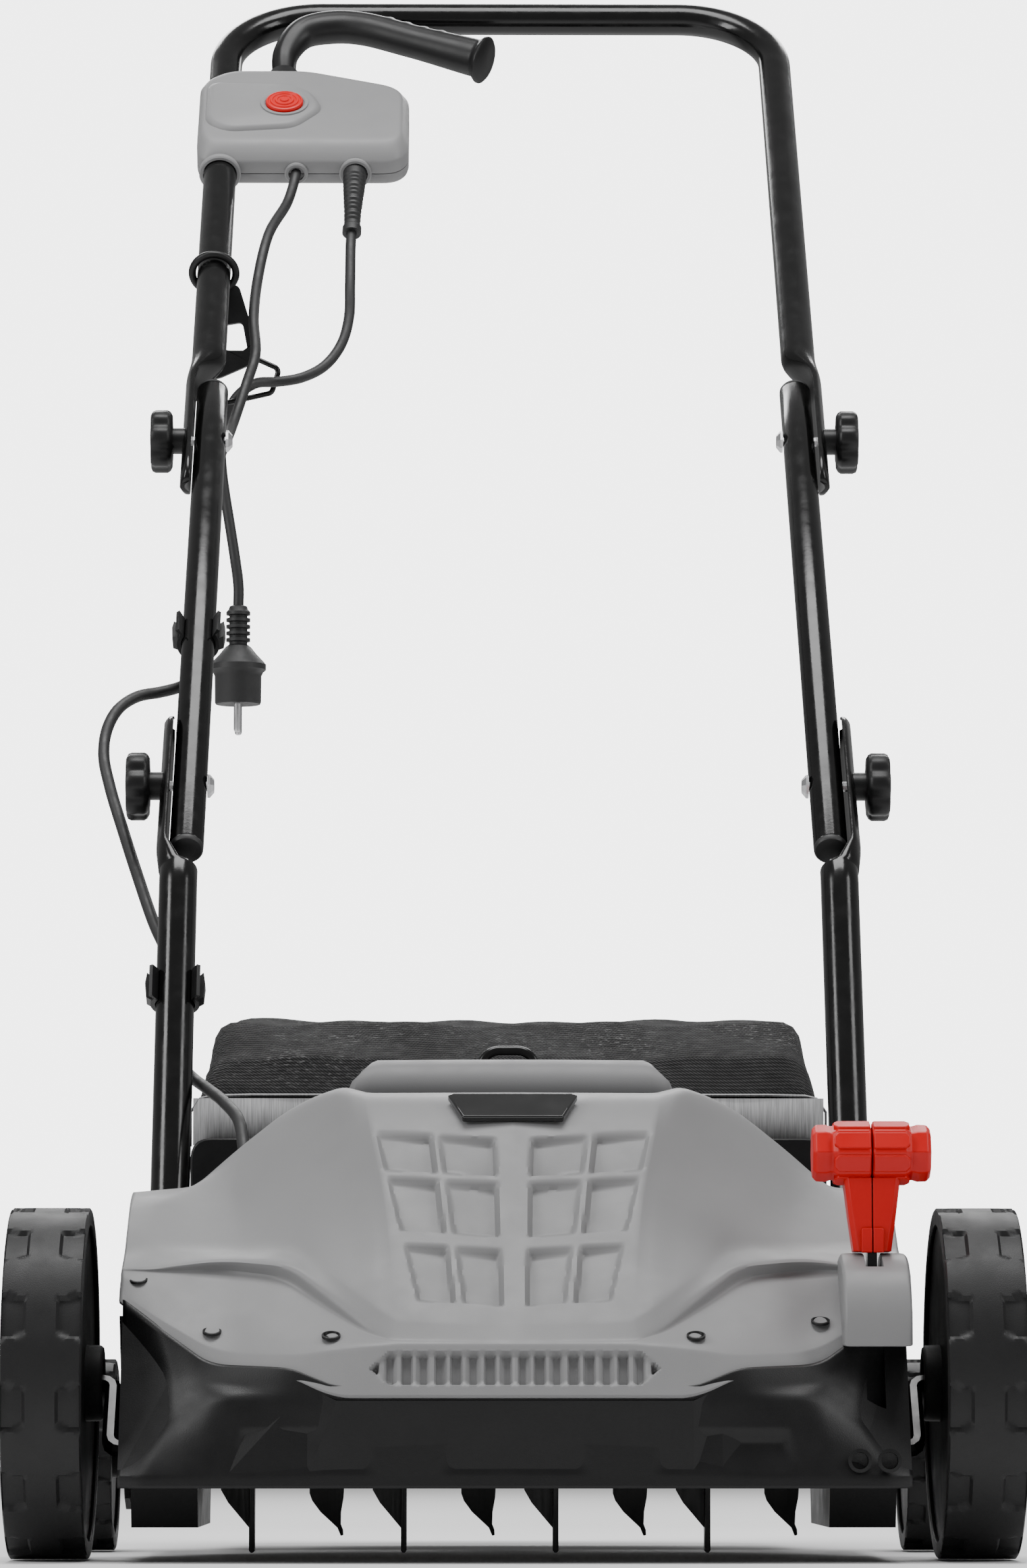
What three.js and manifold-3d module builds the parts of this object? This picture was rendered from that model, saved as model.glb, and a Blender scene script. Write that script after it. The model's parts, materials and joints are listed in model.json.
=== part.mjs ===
// Electric lawn dethatcher: a plastic deck on four wheels, a knife rotor driven by a belt, a folding
// three-part tubular handle with its switch box, and a catch bag behind the deck.
// Millimetres, +Z up. The machine's front faces -Y, the operator stands at +Y, +X is on the right
// of someone facing the front. The origin is on the ground, midway between the furthest front and back.
import * as THREE from "three";
import { mergeVertices } from "three/addons/utils/BufferGeometryUtils.js";
import Module from "manifold-3d";

const wasm = await Module();
wasm.setup();

// ---- driving dimensions -------------------------------------------------------------------------
const GAP = 0.4; // clearance between pieces that touch
const FRONT_AXLE_Y = -457; // the front wheels' axis; deck places below are measured from it
const DECK_HALF = 205; // half width of the lower housing
const CHEEK_IN = 166; // inner face of the housing's hollow side cheeks
const FRONT_WHEEL_R = 93.5;
const FRONT_WHEEL_W = 42;
const WHEEL_X = 224; // inner face of every wheel
const REAR_WHEEL_R = 55;
const REAR_WHEEL_W = 34;
const REAR_AXLE_Y = 262;
const frontAxleZ = FRONT_WHEEL_R * Math.cos(Math.PI / 24); // the wheels' flats lie on the ground
const rearAxleZ = REAR_WHEEL_R * Math.cos(Math.PI / 20);
const AXLE_R = 4.8;
const CRANK = { y: -35, z: 58 }; // pivot of the cranked front axle
const CRANK_X = 211.6; // middle of the crank arms
const ROTOR = { y: 75, z: 64, tip: 62, tunnel: 68 };
const MOTOR = { y: 5, z: 148, r: 35 };
const BELT_X = -187; // middle plane of the belt
const MOTOR_PULLEY_R = 11;
const ROTOR_PULLEY_R = 26;
const KNIVES = 8;
const KNIFE_PITCH = 41;
const TUBE_R = 11; // upper and lower handle tubes
const MID_TUBE_R = 10;
const TUBE_WALL = 1.5;
const UPPER_X = 190.7; // axis of the upper and lower tubes
const MID_X = 187; // axis of the mid tubes
const LEAN = THREE.MathUtils.degToRad(42.3); // handle's slope above the ground
const UPPER_BOLT = { y: 603, z: 693 };
const MID_SPAN = 369; // between the lower and the upper bolts
const CROSSBAR = 541; // crossbar axis, above the upper bolts along the handle
const CORNER_R = 62;
const LOWER_END = { y: 152, z: 132 }; // where the lower tubes end, down in the deck
const LEVER_X = 188; // middle plane of the height lever
const CORD_R = 3.5;

// ---- helpers ------------------------------------------------------------------------------------
// A route through waypoints that a swept section follows exactly, one step for each waypoint.
class Route extends THREE.Curve {
  constructor(points) {
    super();
    this.points = points.map((p) => new THREE.Vector3(...p));
  }
  getPoint(t) {
    const last = this.points.length - 1;
    const i = Math.min(Math.floor(t * last + 1e-9), last - 1);
    return this.points[i].clone().lerp(this.points[i + 1], t * last - i);
  }
  getPointAt(u) {
    return this.getPoint(u);
  }
  getTangentAt(u) {
    const last = this.points.length - 1;
    const i = Math.round(u * last);
    const before = this.points[Math.max(i - 1, 0)];
    const after = this.points[Math.min(i + 1, last)];
    return after.clone().sub(before).normalize();
  }
}

// A polyline with each inner corner replaced by an arc of the given radius.
function rounded(points, radius, pieces = 3) {
  const at = points.map((p) => new THREE.Vector3(...p));
  const out = [at[0]];
  for (let i = 1; i < at.length - 1; i++) {
    const back = at[i - 1].clone().sub(at[i]).normalize();
    const on = at[i + 1].clone().sub(at[i]).normalize();
    const half = back.angleTo(on) / 2;
    const reach = radius / Math.tan(half);
    const middle = back.clone().add(on).normalize().multiplyScalar(radius / Math.sin(half)).add(at[i]);
    const start = at[i].clone().addScaledVector(back, reach).sub(middle);
    const end = at[i].clone().addScaledVector(on, reach).sub(middle);
    const sweep = start.angleTo(end);
    for (let k = 0; k <= pieces; k++) {
      const s = k / pieces;
      const a = start.clone().multiplyScalar(Math.sin((1 - s) * sweep) / Math.sin(sweep));
      out.push(a.addScaledVector(end, Math.sin(s * sweep) / Math.sin(sweep)).add(middle));
    }
  }
  out.push(at[at.length - 1]);
  return out.map((p) => p.toArray());
}

// Points on a smooth curve through a few hand-placed ones.
function smooth(points, steps) {
  const curve = new THREE.CatmullRomCurve3(points.map((p) => new THREE.Vector3(...p)));
  return curve.getSpacedPoints(steps).map((p) => p.toArray());
}

function disc(r, sides = 8) {
  const turn = (k) => ((k + 0.5) / sides) * 2 * Math.PI;
  return Array.from({ length: sides }, (_, k) => [r * Math.cos(turn(k)), r * Math.sin(turn(k))]);
}

function outlineShape(points) {
  return new THREE.Shape(points.map((p) => new THREE.Vector2(...p)));
}

function sweep(points, r, sides = 8) {
  return new THREE.ExtrudeGeometry(outlineShape(disc(r, sides)), {
    steps: points.length - 1,
    extrudePath: new Route(points),
  });
}

// A flat outline in (x, y), raised along z from `from` to `to`.
function plate(points, from, to) {
  return new THREE.ExtrudeGeometry(outlineShape(points), { depth: to - from, bevelEnabled: false })
    .translate(0, 0, from);
}

// A side profile of (y, z) points, drawn across the machine from x = `from` to x = `to`.
function profileX(points, from, to) {
  const shape = plate(points, from, to);
  return shape.applyMatrix4(new THREE.Matrix4().makeBasis(
    new THREE.Vector3(0, 1, 0), new THREE.Vector3(0, 0, 1), new THREE.Vector3(1, 0, 0)));
}

function box(x0, x1, y0, y1, z0, z1) {
  return new THREE.BoxGeometry(x1 - x0, y1 - y0, z1 - z0)
    .translate((x0 + x1) / 2, (y0 + y1) / 2, (z0 + z1) / 2);
}

// A round piece about an axis along X: the profile is (x, radius) pairs from the axis back to it.
function turned(profile, sides, y = 0, z = 0) {
  const points = profile.map(([x, r]) => new THREE.Vector2(r, x));
  return new THREE.LatheGeometry(points, sides).rotateZ(-Math.PI / 2).translate(0, y, z);
}

function rodX(r, x0, x1, y, z, sides = 16) {
  return turned([[x0, 0], [x0, r], [x1, r], [x1, 0]], sides, y, z);
}

function solid(geometry) {
  const bare = geometry.index ? geometry.toNonIndexed() : geometry.clone();
  bare.deleteAttribute("normal");
  bare.deleteAttribute("uv");
  const merged = mergeVertices(bare, 1e-3);
  const made = new wasm.Manifold(new wasm.Mesh({
    numProp: 3,
    vertProperties: merged.attributes.position.array,
    triVerts: new Uint32Array(merged.index.array),
  }));
  return made;
}

function geometryOf(manifold) {
  const mesh = manifold.getMesh();
  return new THREE.BufferGeometry()
    .setAttribute("position", new THREE.BufferAttribute(mesh.vertProperties, 3))
    .setIndex(new THREE.BufferAttribute(mesh.triVerts, 1));
}

function join(...geometries) {
  return geometryOf(geometries.map(solid).reduce((a, b) => a.add(b)));
}

function cut(geometry, ...tools) {
  return geometryOf(tools.map(solid).reduce((a, b) => a.subtract(b), solid(geometry)));
}

// A closed solid through sections of equally many points, capped at both ends.
function loft(sections) {
  const n = sections[0].length;
  const positions = sections.flat(2);
  const index = [];
  for (let s = 0; s < sections.length - 1; s++)
    for (let k = 0; k < n; k++) {
      const a = s * n + k;
      const b = s * n + ((k + 1) % n);
      index.push(a, b, b + n, a, b + n, a + n);
    }
  for (const end of [0, sections.length - 1]) {
    const ring = sections[end];
    const flat = ring.map((p) => new THREE.Vector2(p[1], p[2]));
    for (const [a, b, c] of THREE.ShapeUtils.triangulateShape(flat, []))
      index.push(...[a, b, c].map((i) => i + end * n));
  }
  return facingOut(positions, index, sections.length, n);
}

// Turns the end caps, then the whole body, so that every face points out.
function facingOut(positions, index, sections, n) {
  const sides = (sections - 1) * n * 6;
  const edge = new Set();
  for (let i = 0; i < sides; i += 3)
    for (let k = 0; k < 3; k++) edge.add(`${index[i + k]}>${index[i + ((k + 1) % 3)]}`);
  for (const first of [0, (sections - 1) * n]) {
    const caps = [];
    for (let i = sides; i < index.length; i += 3)
      if (index[i] >= first && index[i] < first + n) caps.push(i);
    const clash = caps.some((i) =>
      [0, 1, 2].some((k) => edge.has(`${index[i + k]}>${index[i + ((k + 1) % 3)]}`)));
    if (clash) for (const i of caps) [index[i + 1], index[i + 2]] = [index[i + 2], index[i + 1]];
  }
  let volume = 0;
  const at = (i) => new THREE.Vector3(...positions.slice(3 * i, 3 * i + 3));
  for (let i = 0; i < index.length; i += 3)
    volume += at(index[i]).dot(at(index[i + 1]).cross(at(index[i + 2])));
  if (volume < 0)
    for (let i = 0; i < index.length; i += 3) [index[i + 1], index[i + 2]] = [index[i + 2], index[i + 1]];
  return new THREE.BufferGeometry()
    .setAttribute("position", new THREE.Float32BufferAttribute(positions, 3))
    .setIndex(index);
}

// A sheet of the given thickness below a grid of surface points, its rim closed.
function shell(grid, thickness) {
  const rows = grid.length;
  const cols = grid[0].length;
  const quads = [];
  for (let i = 0; i < rows - 1; i++)
    for (let j = 0; j < cols - 1; j++) {
      const a = i * cols + j;
      quads.push(a, a + 1, a + cols + 1, a, a + cols + 1, a + cols);
    }
  const outer = new THREE.BufferGeometry()
    .setAttribute("position", new THREE.Float32BufferAttribute(grid.flat(2), 3))
    .setIndex(quads);
  outer.computeVertexNormals();
  const normal = outer.attributes.normal;
  const pushedIn = (p, i) => [
    p[0] - thickness * normal.getX(i),
    p[1] - thickness * normal.getY(i),
    p[2] - thickness * normal.getZ(i),
  ];
  const inner = grid.flat().map(pushedIn);
  const count = rows * cols;
  const index = [...quads];
  for (let i = 0; i < quads.length; i += 3)
    index.push(quads[i] + count, quads[i + 2] + count, quads[i + 1] + count);
  const rim = [];
  const last = (rows - 1) * cols;
  for (let j = 0; j < cols - 1; j++) rim.push([j + 1, j], [last + j, last + j + 1]);
  for (let i = 0; i < rows - 1; i++) {
    rim.push([i * cols, (i + 1) * cols], [(i + 2) * cols - 1, (i + 1) * cols - 1]);
  }
  for (const [a, b] of rim) index.push(a, b, b + count, a, b + count, a + count);
  return new THREE.BufferGeometry()
    .setAttribute("position", new THREE.Float32BufferAttribute([...grid.flat(2), ...inner.flat()], 3))
    .setIndex(index);
}

const finish = (color, roughness, metalness = 0) =>
  new THREE.MeshStandardMaterial({ color, roughness, metalness });
const GREY = finish(0x8f8f8f, 0.55);
const BLACK = finish(0x1c1c1d, 0.6);
const FLAP_GREY = finish(0x707070, 0.55);
const RED = finish(0xe01010, 0.35);
const PAINT = finish(0x161616, 0.2, 0.3);
const STEEL = finish(0xa8a8a8, 0.35, 1);
const KNIFE_STEEL = finish(0x2b2b2b, 0.45, 0.8);
const WHEEL = finish(0x232323, 0.7);
const RUBBER = finish(0x1a1a1a, 0.75);
const MESH = finish(0x0e0e0e, 0.95);
const GLOSS = finish(0x050505, 0.1);
const BEARING = finish(0x9a9a9a, 0.3, 1);

const dethatcher = new THREE.Group();
const deck = new THREE.Group();
deck.position.y = FRONT_AXLE_Y;
dethatcher.add(deck);

// The handle's own frame: x across, y up along the tubes, z out of the handle's upper face.
const handle = new THREE.Group();
handle.position.set(0, UPPER_BOLT.y, UPPER_BOLT.z);
handle.rotation.x = LEAN;
deck.add(handle);

function add(parent, name, geometry, material) {
  const mesh = new THREE.Mesh(geometry, material);
  mesh.name = name;
  parent.add(mesh);
}

const SIDES = [["left", -1], ["right", 1]];
const alongHandle = (a, n = 0) => [
  UPPER_BOLT.y + a * Math.cos(LEAN) - n * Math.sin(LEAN),
  UPPER_BOLT.z + a * Math.sin(LEAN) + n * Math.cos(LEAN),
];

// ---- deck housing -------------------------------------------------------------------------------
// The lower tubes' routes are needed first, because the deck has sockets for them.
function lowerTubeRoute(side) {
  const x = side * UPPER_X;
  const bend = [x, ...alongHandle(-MID_SPAN - 88)];
  return rounded([[x, ...alongHandle(-MID_SPAN + 62)], bend, [x, LOWER_END.y, LOWER_END.z]], 60, 3);
}

function beltOutline(extra) {
  const across = Math.atan2(MOTOR.z - ROTOR.z, MOTOR.y - ROTOR.y);
  const arc = (c, r, from, to) => Array.from({ length: 9 }, (_, k) => {
    const turn = from + ((to - from) * k) / 8;
    return [c.y + (r + extra) * Math.cos(turn), c.z + (r + extra) * Math.sin(turn)];
  });
  const lap = Math.acos((ROTOR_PULLEY_R - MOTOR_PULLEY_R) / Math.hypot(MOTOR.z - ROTOR.z, MOTOR.y - ROTOR.y));
  return [
    ...arc(MOTOR, MOTOR_PULLEY_R, across - lap, across + lap),
    ...arc(ROTOR, ROTOR_PULLEY_R, across + lap, across - lap + 2 * Math.PI),
  ];
}
// Front-to-back sections of the housing's outside, at half widths that follow the cover's front edge.
const housingBack = [[60, 139], [150, 139], [262, 142], [285, 136], [285, 45]];
const housingSections = [
  [0, [-95, 43], [-98.2, 83], [-70, 90], [-8, 112], [30, 118], ...housingBack],
  [92, [-95, 43], [-98.2, 83], [-70, 90], [-8, 112], [30, 118], ...housingBack],
  [107, [-95, 43], [-92, 90], [-68, 94], [-8, 112], [30, 118], ...housingBack],
  [150, [-95, 43], [-77, 96], [-56, 100], [-8, 116], [30, 128], ...housingBack],
  [175, [-94, 43], [-64, 102], [-44, 110], [-8, 122], [30, 132], ...housingBack],
  [DECK_HALF, [-88, 43], [-42, 128], [-37, 129], [-8, 133], [30, 138], ...housingBack],
];

function mirrored(half) {
  const left = half.slice(half[0][0] === 0 ? 1 : 0).reverse().map(([x, ...p]) => [-x, ...p]);
  return [...left, ...half];
}

// The housing's outside, with its upper part raised by `up` to give the cover's clearance.
function housingOutside(up) {
  return loft(mirrored(housingSections).map(([x, ...p]) => {
    const wide = x + Math.sign(x) * up;
    return p.map(([y, z]) => [wide, y, z > 45 ? z + up : z]);
  }));
}

function deckHousing() {
  const outside = housingOutside(0);
  const skirts = SIDES.map(([, side]) => {
    const inner = side * CHEEK_IN;
    const outer = side * (DECK_HALF - 4);
    const profile = [[-20, 17], [150, 17], [165, 60], [-35, 60]];
    return profileX(profile, Math.min(inner, outer), Math.max(inner, outer));
  });
  const wheelAround = (c, r, sides) => disc(r, sides).map(([y, z]) => [c.y + y, c.z + z]);
  const tunnel = profileX(wheelAround(ROTOR, ROTOR.tunnel, 20), -CHEEK_IN, CHEEK_IN);
  const below = box(-CHEEK_IN, CHEEK_IN, ROTOR.y - ROTOR.tunnel, ROTOR.y + ROTOR.tunnel, 0, ROTOR.z);
  const chute = profileX([[90, 50], [90, 130], [150, 134], [262, 144], [290, 132], [290, 40], [143, 40]],
    -CHEEK_IN, CHEEK_IN);
  const frontHollow = profileX([[-88, 30], [-91, 78], [-60, 90], [-14, 104], [-4, 70], [-4, 30]],
    -CHEEK_IN, CHEEK_IN);
  const axleBore = rodX(AXLE_R + GAP, -DECK_HALF - 5, DECK_HALF + 5, CRANK.y, CRANK.z, 12);
  const rearBore = rodX(AXLE_R + GAP, -DECK_HALF - 5, DECK_HALF + 5, REAR_AXLE_Y, rearAxleZ, 12);
  const beltRoom = profileX(beltOutline(7), -DECK_HALF - 5, -173);
  const shaftBores = rodX(14.4, -174, DECK_HALF - 14, ROTOR.y, ROTOR.z, 16);
  const shaftIntoBelt = rodX(14.4, -180, -CHEEK_IN + 1, ROTOR.y, ROTOR.z, 16);
  const leverSlot = box(LEVER_X - 5, LEVER_X + 5, CRANK.y - 36, CRANK.y + 46, 50, 150);
  const leverRoom = box(LEVER_X - 15, LEVER_X + 13, CRANK.y - 14, CRANK.y + 14, CRANK.z - 14, 150);
  const sockets = SIDES.map(([, side]) => {
    const route = lowerTubeRoute(side);
    const mouth = [side * UPPER_X, LOWER_END.y - 0.5, LOWER_END.z - 1];
    return sweep([route[route.length - 2], mouth], TUBE_R + GAP, 12);
  });
  const motorSeat = rodX(MOTOR.r + 1, -92, 88, MOTOR.y, MOTOR.z, 20);
  return cut(join(outside, ...skirts), tunnel, below, chute, frontHollow, axleBore, rearBore, beltRoom,
    shaftBores, shaftIntoBelt, leverSlot, leverRoom, ...sockets, motorSeat);
}
add(deck, "deck_housing", deckHousing(), BLACK);

// ---- motor cover --------------------------------------------------------------------------------
// Front-to-back lines of the cover's outer surface, at half widths from the middle to the side skirt.
const coverLines = [
  [0, [-100, 85], [-84, 112], [-78, 115], [15, 231], [38, 247], [60, 250], [150, 250], [243, 168]],
  [60, [-100, 85], [-84, 112], [-78, 115], [15, 231], [38, 247], [60, 250], [150, 250], [243, 168]],
  [79, [-99, 85], [-84, 112], [-76, 117], [18, 230], [45, 251], [66, 256], [150, 255], [243, 168]],
  [107, [-94, 92], [-80, 114], [-60, 124], [25, 205], [60, 247], [75, 254], [150, 252], [243, 168]],
  [150, [-79, 98], [-69, 113], [-40, 128], [-10, 165], [55, 205], [92, 228], [150, 222], [243, 162]],
  [175, [-66, 105], [-58, 117], [-35, 136], [-5, 165], [50, 190], [110, 203], [150, 202], [243, 158]],
  [206, [-44, 134], [-36, 142], [-30, 148], [-2, 164], [50, 181], [110, 197], [150, 195], [243, 152]],
  [209, [-43, 131], [-36, 132], [-30, 133], [-2, 137], [50, 143], [110, 145], [150, 145], [243, 145]],
];
const COVER_WALL = 3;

function leverTower() {
  const front = [[-80, 112], [-80, 128], [-68, 148], [-52, 158], [-35, 161]];
  const back = [[-16, 158], [0, 148], [18, 130], [18, 112]];
  return profileX([...front, ...back], 164, 206);
}

// The space that the height lever sweeps round its axle, beyond a given distance from it.
function leverPath(near, from, to, back) {
  const LEAST = -9;
  const STEP = 6;
  const steps = Math.ceil((back - LEAST) / STEP);
  const arc = (r) => Array.from({ length: steps + 1 }, (_, k) => {
    const turn = ((LEAST + ((back - LEAST) * k) / steps) * Math.PI) / 180;
    return [CRANK.y + r * Math.sin(turn), CRANK.z + r * Math.cos(turn)];
  });
  return profileX([...arc(near).reverse(), ...arc(190)], from, to);
}

function motorCover() {
  const grid = mirrored(coverLines).map(([x, ...p]) => p.map(([y, z]) => [x, y, z]));
  const skin = shell(grid.map((line) => [...line].reverse()), COVER_WALL);
  const clearance = SIDES.map(([, side]) => sweep(lowerTubeRoute(side), TUBE_R + 1.5, 12));
  const leverSlot = box(LEVER_X - 5, LEVER_X + 5, CRANK.y - 40, CRANK.y + 54, 90, 200);
  const underTower = profileX([[-75, 90], [-60, 142], [-35, 152], [0, 138], [12, 90]], 168, 202);
  const cableHole = sweep([[-152.5, 163, 253.5], [-143, 106, 191]], CORD_R + 2, 8);
  const leverPaths = [leverPath(102.6, 171, 210, 30), leverPath(136, 155, 210, 31)];
  const body = cut(join(skin, leverTower()), underTower, leverSlot, ...leverPaths);
  return cut(body, ...clearance, cableHole, housingOutside(0.7));
}
add(deck, "motor_cover", motorCover(), GREY);

const BADGE = { y: 26.5, z: 241.5, slope: Math.atan2(16, 23) };
add(deck, "name_badge",
  plate([[-28, -10], [28, -10], [36, 10], [-36, 10]], 0, 1.2)
    .rotateX(BADGE.slope).translate(0, BADGE.y - 0.6, BADGE.z - 1.2), GLOSS);

add(deck, "belt_cover", cut(
  profileX(beltOutline(13), -DECK_HALF - 3.4, -DECK_HALF - GAP),
  box(-DECK_HALF - 5, -DECK_HALF + 1, -60, 80, 128, 200)), BLACK);

// ---- drive: motor, belt, rotor ------------------------------------------------------------------
add(deck, "motor", join(
  rodX(MOTOR.r, -76, 70, MOTOR.y, MOTOR.z, 20),
  rodX(20, -90, -75, MOTOR.y, MOTOR.z, 16),
  rodX(26, 69, 86, MOTOR.y, MOTOR.z, 16)), STEEL);

function pulley(r, y, z) {
  return turned([[BELT_X - 9, 0], [BELT_X - 9, r + 3], [BELT_X - 7, r + 3], [BELT_X - 7, r],
    [BELT_X + 7, r], [BELT_X + 7, r + 3], [BELT_X + 9, r + 3], [BELT_X + 9, 0]], 20, y, z);
}
add(deck, "motor_pulley", join(
  pulley(MOTOR_PULLEY_R, MOTOR.y, MOTOR.z),
  rodX(5, BELT_X + 8, -90 - GAP, MOTOR.y, MOTOR.z, 8)), STEEL);
add(deck, "rotor_pulley", cut(pulley(ROTOR_PULLEY_R, ROTOR.y, ROTOR.z),
  rodX(7 + GAP, BELT_X - 20, BELT_X + 20, ROTOR.y, ROTOR.z, 12)), STEEL);

add(deck, "drive_belt", cut(
  profileX(beltOutline(2.8), BELT_X - 6, BELT_X + 6),
  profileX(beltOutline(0.8), BELT_X - 8, BELT_X + 8)), RUBBER);

add(deck, "rotor_shaft", join(
  rodX(7, BELT_X - 12, 184, ROTOR.y, ROTOR.z, 12),
  rodX(13, -152, 152, ROTOR.y, ROTOR.z, 12)), KNIFE_STEEL);
for (const [side, x] of [["left", -CHEEK_IN - 6], ["right", CHEEK_IN + 4]]) {
  const ring = [[x - 4, 7 + GAP], [x - 4, 14], [x + 6, 14], [x + 6, 7 + GAP], [x - 4, 7 + GAP]];
  add(deck, `rotor_bearing_${side}`, turned(ring, 16, ROTOR.y, ROTOR.z), BEARING);
}

// A double-ended knife: a flat bar with a hooked tip at each end, standing across the shaft.
function knife() {
  const half = [[-15, 10], [-13, 34], [-9, 52], [-4, ROTOR.tip],
    [3, ROTOR.tip - 2], [2, 48], [9, 30], [15, 10]];
  const bar = [...half, ...half.map(([x, y]) => [-x, -y])];
  return cut(plate(bar, -1.25, 1.25), plate(disc(13.8, 12), -3, 3));
}
const firstKnife = -(KNIVES - 1) / 2;
for (let k = 0; k < KNIVES; k++) {
  const phase = k % 2 ? THREE.MathUtils.degToRad(38) : 0;
  const blade = knife().rotateY(Math.PI / 2).rotateX(Math.PI / 2 + phase)
    .translate((firstKnife + k) * KNIFE_PITCH + 3, ROTOR.y, ROTOR.z);
  add(deck, `knife_${k + 1}`, blade, KNIFE_STEEL);
}

// ---- wheels and axles ---------------------------------------------------------------------------
// A moulded wheel: tread ring, web set towards the outside, long hub; side +1 has its hub at low x.
function wheel(r, width, hubR, bore, sides) {
  const rim = r - 6;
  return turned([
    [-4, bore], [-4, hubR], [width * 0.55, hubR + 2], [width * 0.55, rim - 3], [0, rim], [0, r - 2],
    [4, r], [width - 4, r], [width, r - 2], [width, rim], [width * 0.7, rim - 3], [width * 0.7, hubR + 2],
    [width - 2, hubR], [width - 2, bore], [-4, bore]], sides);
}
function spokeWindows(count, at, r, width) {
  return Array.from({ length: count }, (_, k) => {
    const turn = ((k + 0.5) / count) * 2 * Math.PI;
    return rodX(r, -10, width + 10, at * Math.cos(turn), at * Math.sin(turn), 6);
  });
}
// The facets at the bottom lie flat on the ground.
function placeWheel(geometry, side, y, r, sides) {
  const flat = geometry.rotateX(Math.PI / sides + Math.PI / 2);
  const raised = r * Math.cos(Math.PI / sides);
  const turned180 = side < 0 ? flat.rotateY(Math.PI) : flat;
  return turned180.translate(side * WHEEL_X, y, raised);
}
for (const [name, side] of SIDES) {
  const front = cut(wheel(FRONT_WHEEL_R, FRONT_WHEEL_W, 20, AXLE_R + GAP, 24),
    ...spokeWindows(6, 55, 19, FRONT_WHEEL_W));
  add(deck, `front_wheel_${name}`, placeWheel(front, side, 0, FRONT_WHEEL_R, 24), WHEEL);
  const rear = wheel(REAR_WHEEL_R, REAR_WHEEL_W, 13, AXLE_R + GAP, 20);
  add(deck, `rear_wheel_${name}`, placeWheel(rear, side, REAR_AXLE_Y, REAR_WHEEL_R, 20), WHEEL);
}

function frontAxle() {
  const hubEnd = WHEEL_X + FRONT_WHEEL_W - 6;
  const half = [[hubEnd, 0, frontAxleZ], [CRANK_X, 0, frontAxleZ], [CRANK_X, CRANK.y, CRANK.z]];
  const route = [...half, ...half.map(([x, y, z]) => [-x, y, z]).reverse()];
  const bar = sweep(rounded(route, 6, 3), AXLE_R, 8);
  const arm = box(LEVER_X - 2.5, LEVER_X + 2.5, CRANK.y - 7, CRANK.y + 7, CRANK.z - 7, 196);
  return join(bar, arm);
}
add(deck, "front_axle", frontAxle(), PAINT);
const REAR_AXLE_HALF = WHEEL_X + REAR_WHEEL_W - 4;
add(deck, "rear_axle", rodX(AXLE_R, -REAR_AXLE_HALF, REAR_AXLE_HALF, REAR_AXLE_Y, rearAxleZ, 8), PAINT);

// The red height lever is two mouldings closed round the flat arm of the front axle.
const GRIP = { half: 31, z: 213, r: 16.5 };
for (const [name, side] of SIDES) {
  const inner = LEVER_X + side * 0.3;
  const outer = LEVER_X + side * 15;
  const stem = plate([[inner, 162], [inner, 205], [outer, 205], [outer - side * 5, 162]], -11, 11)
    .rotateX(Math.PI / 2).translate(0, CRANK.y, 0);
  const end = LEVER_X + side * GRIP.half;
  const profile = [[inner, 0], [inner, GRIP.r], [end - side * 6, GRIP.r], [end, 12], [end, 0]];
  const grip = turned(side > 0 ? profile : profile.reverse(), 8, CRANK.y, GRIP.z);
  const armRoom = box(LEVER_X - 2.9, LEVER_X + 2.9, CRANK.y - 7.4, CRANK.y + 7.4, 150, 197);
  add(deck, `height_lever_${name}`, cut(join(stem, grip), armRoom), RED);
}

// ---- rear flap and catch bag --------------------------------------------------------------------
const FLAP = { y: 165, z: 262.5 };
function rearFlap() {
  const across = (half, y, z) => [[-half, y, z - 3], [half, y, z - 3], [half, y, z], [-half, y, z]];
  const sheet = loftAlongY([across(88, 155, 260), across(76, 168, 273),
    across(84, 200, 273), across(88, 298, 266)]);
  const lip = box(-84, 84, 294, 298, 240, 265);
  const barrel = rodX(4, -74, 74, FLAP.y, FLAP.z + 1, 8);
  const web = box(-70, 70, FLAP.y - 1.5, FLAP.y + 1.5, FLAP.z + 1, 269.5);
  return join(sheet, lip, barrel, web);
}
add(deck, "rear_flap", rearFlap(), FLAP_GREY);

const BAG = { front: 304, half: 184, low: 60 };
function bagFrame() {
  const outer = profileX([[0, 62], [14, 62], [14, 236], [0, 236]], -BAG.half, BAG.half);
  const inner = profileX([[-5, 78], [20, 78], [20, 222], [-5, 222]], -BAG.half + 17, BAG.half - 17);
  const bail = sweep(rounded([[-16, 10, 228], [-16, 20, 284], [16, 20, 284], [16, 10, 228]], 9, 2), 2.6, 6);
  return join(cut(outer, inner), bail).translate(0, BAG.front - 14.5, 0);
}
add(deck, "bag_frame", bagFrame(), BLACK);

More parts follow.
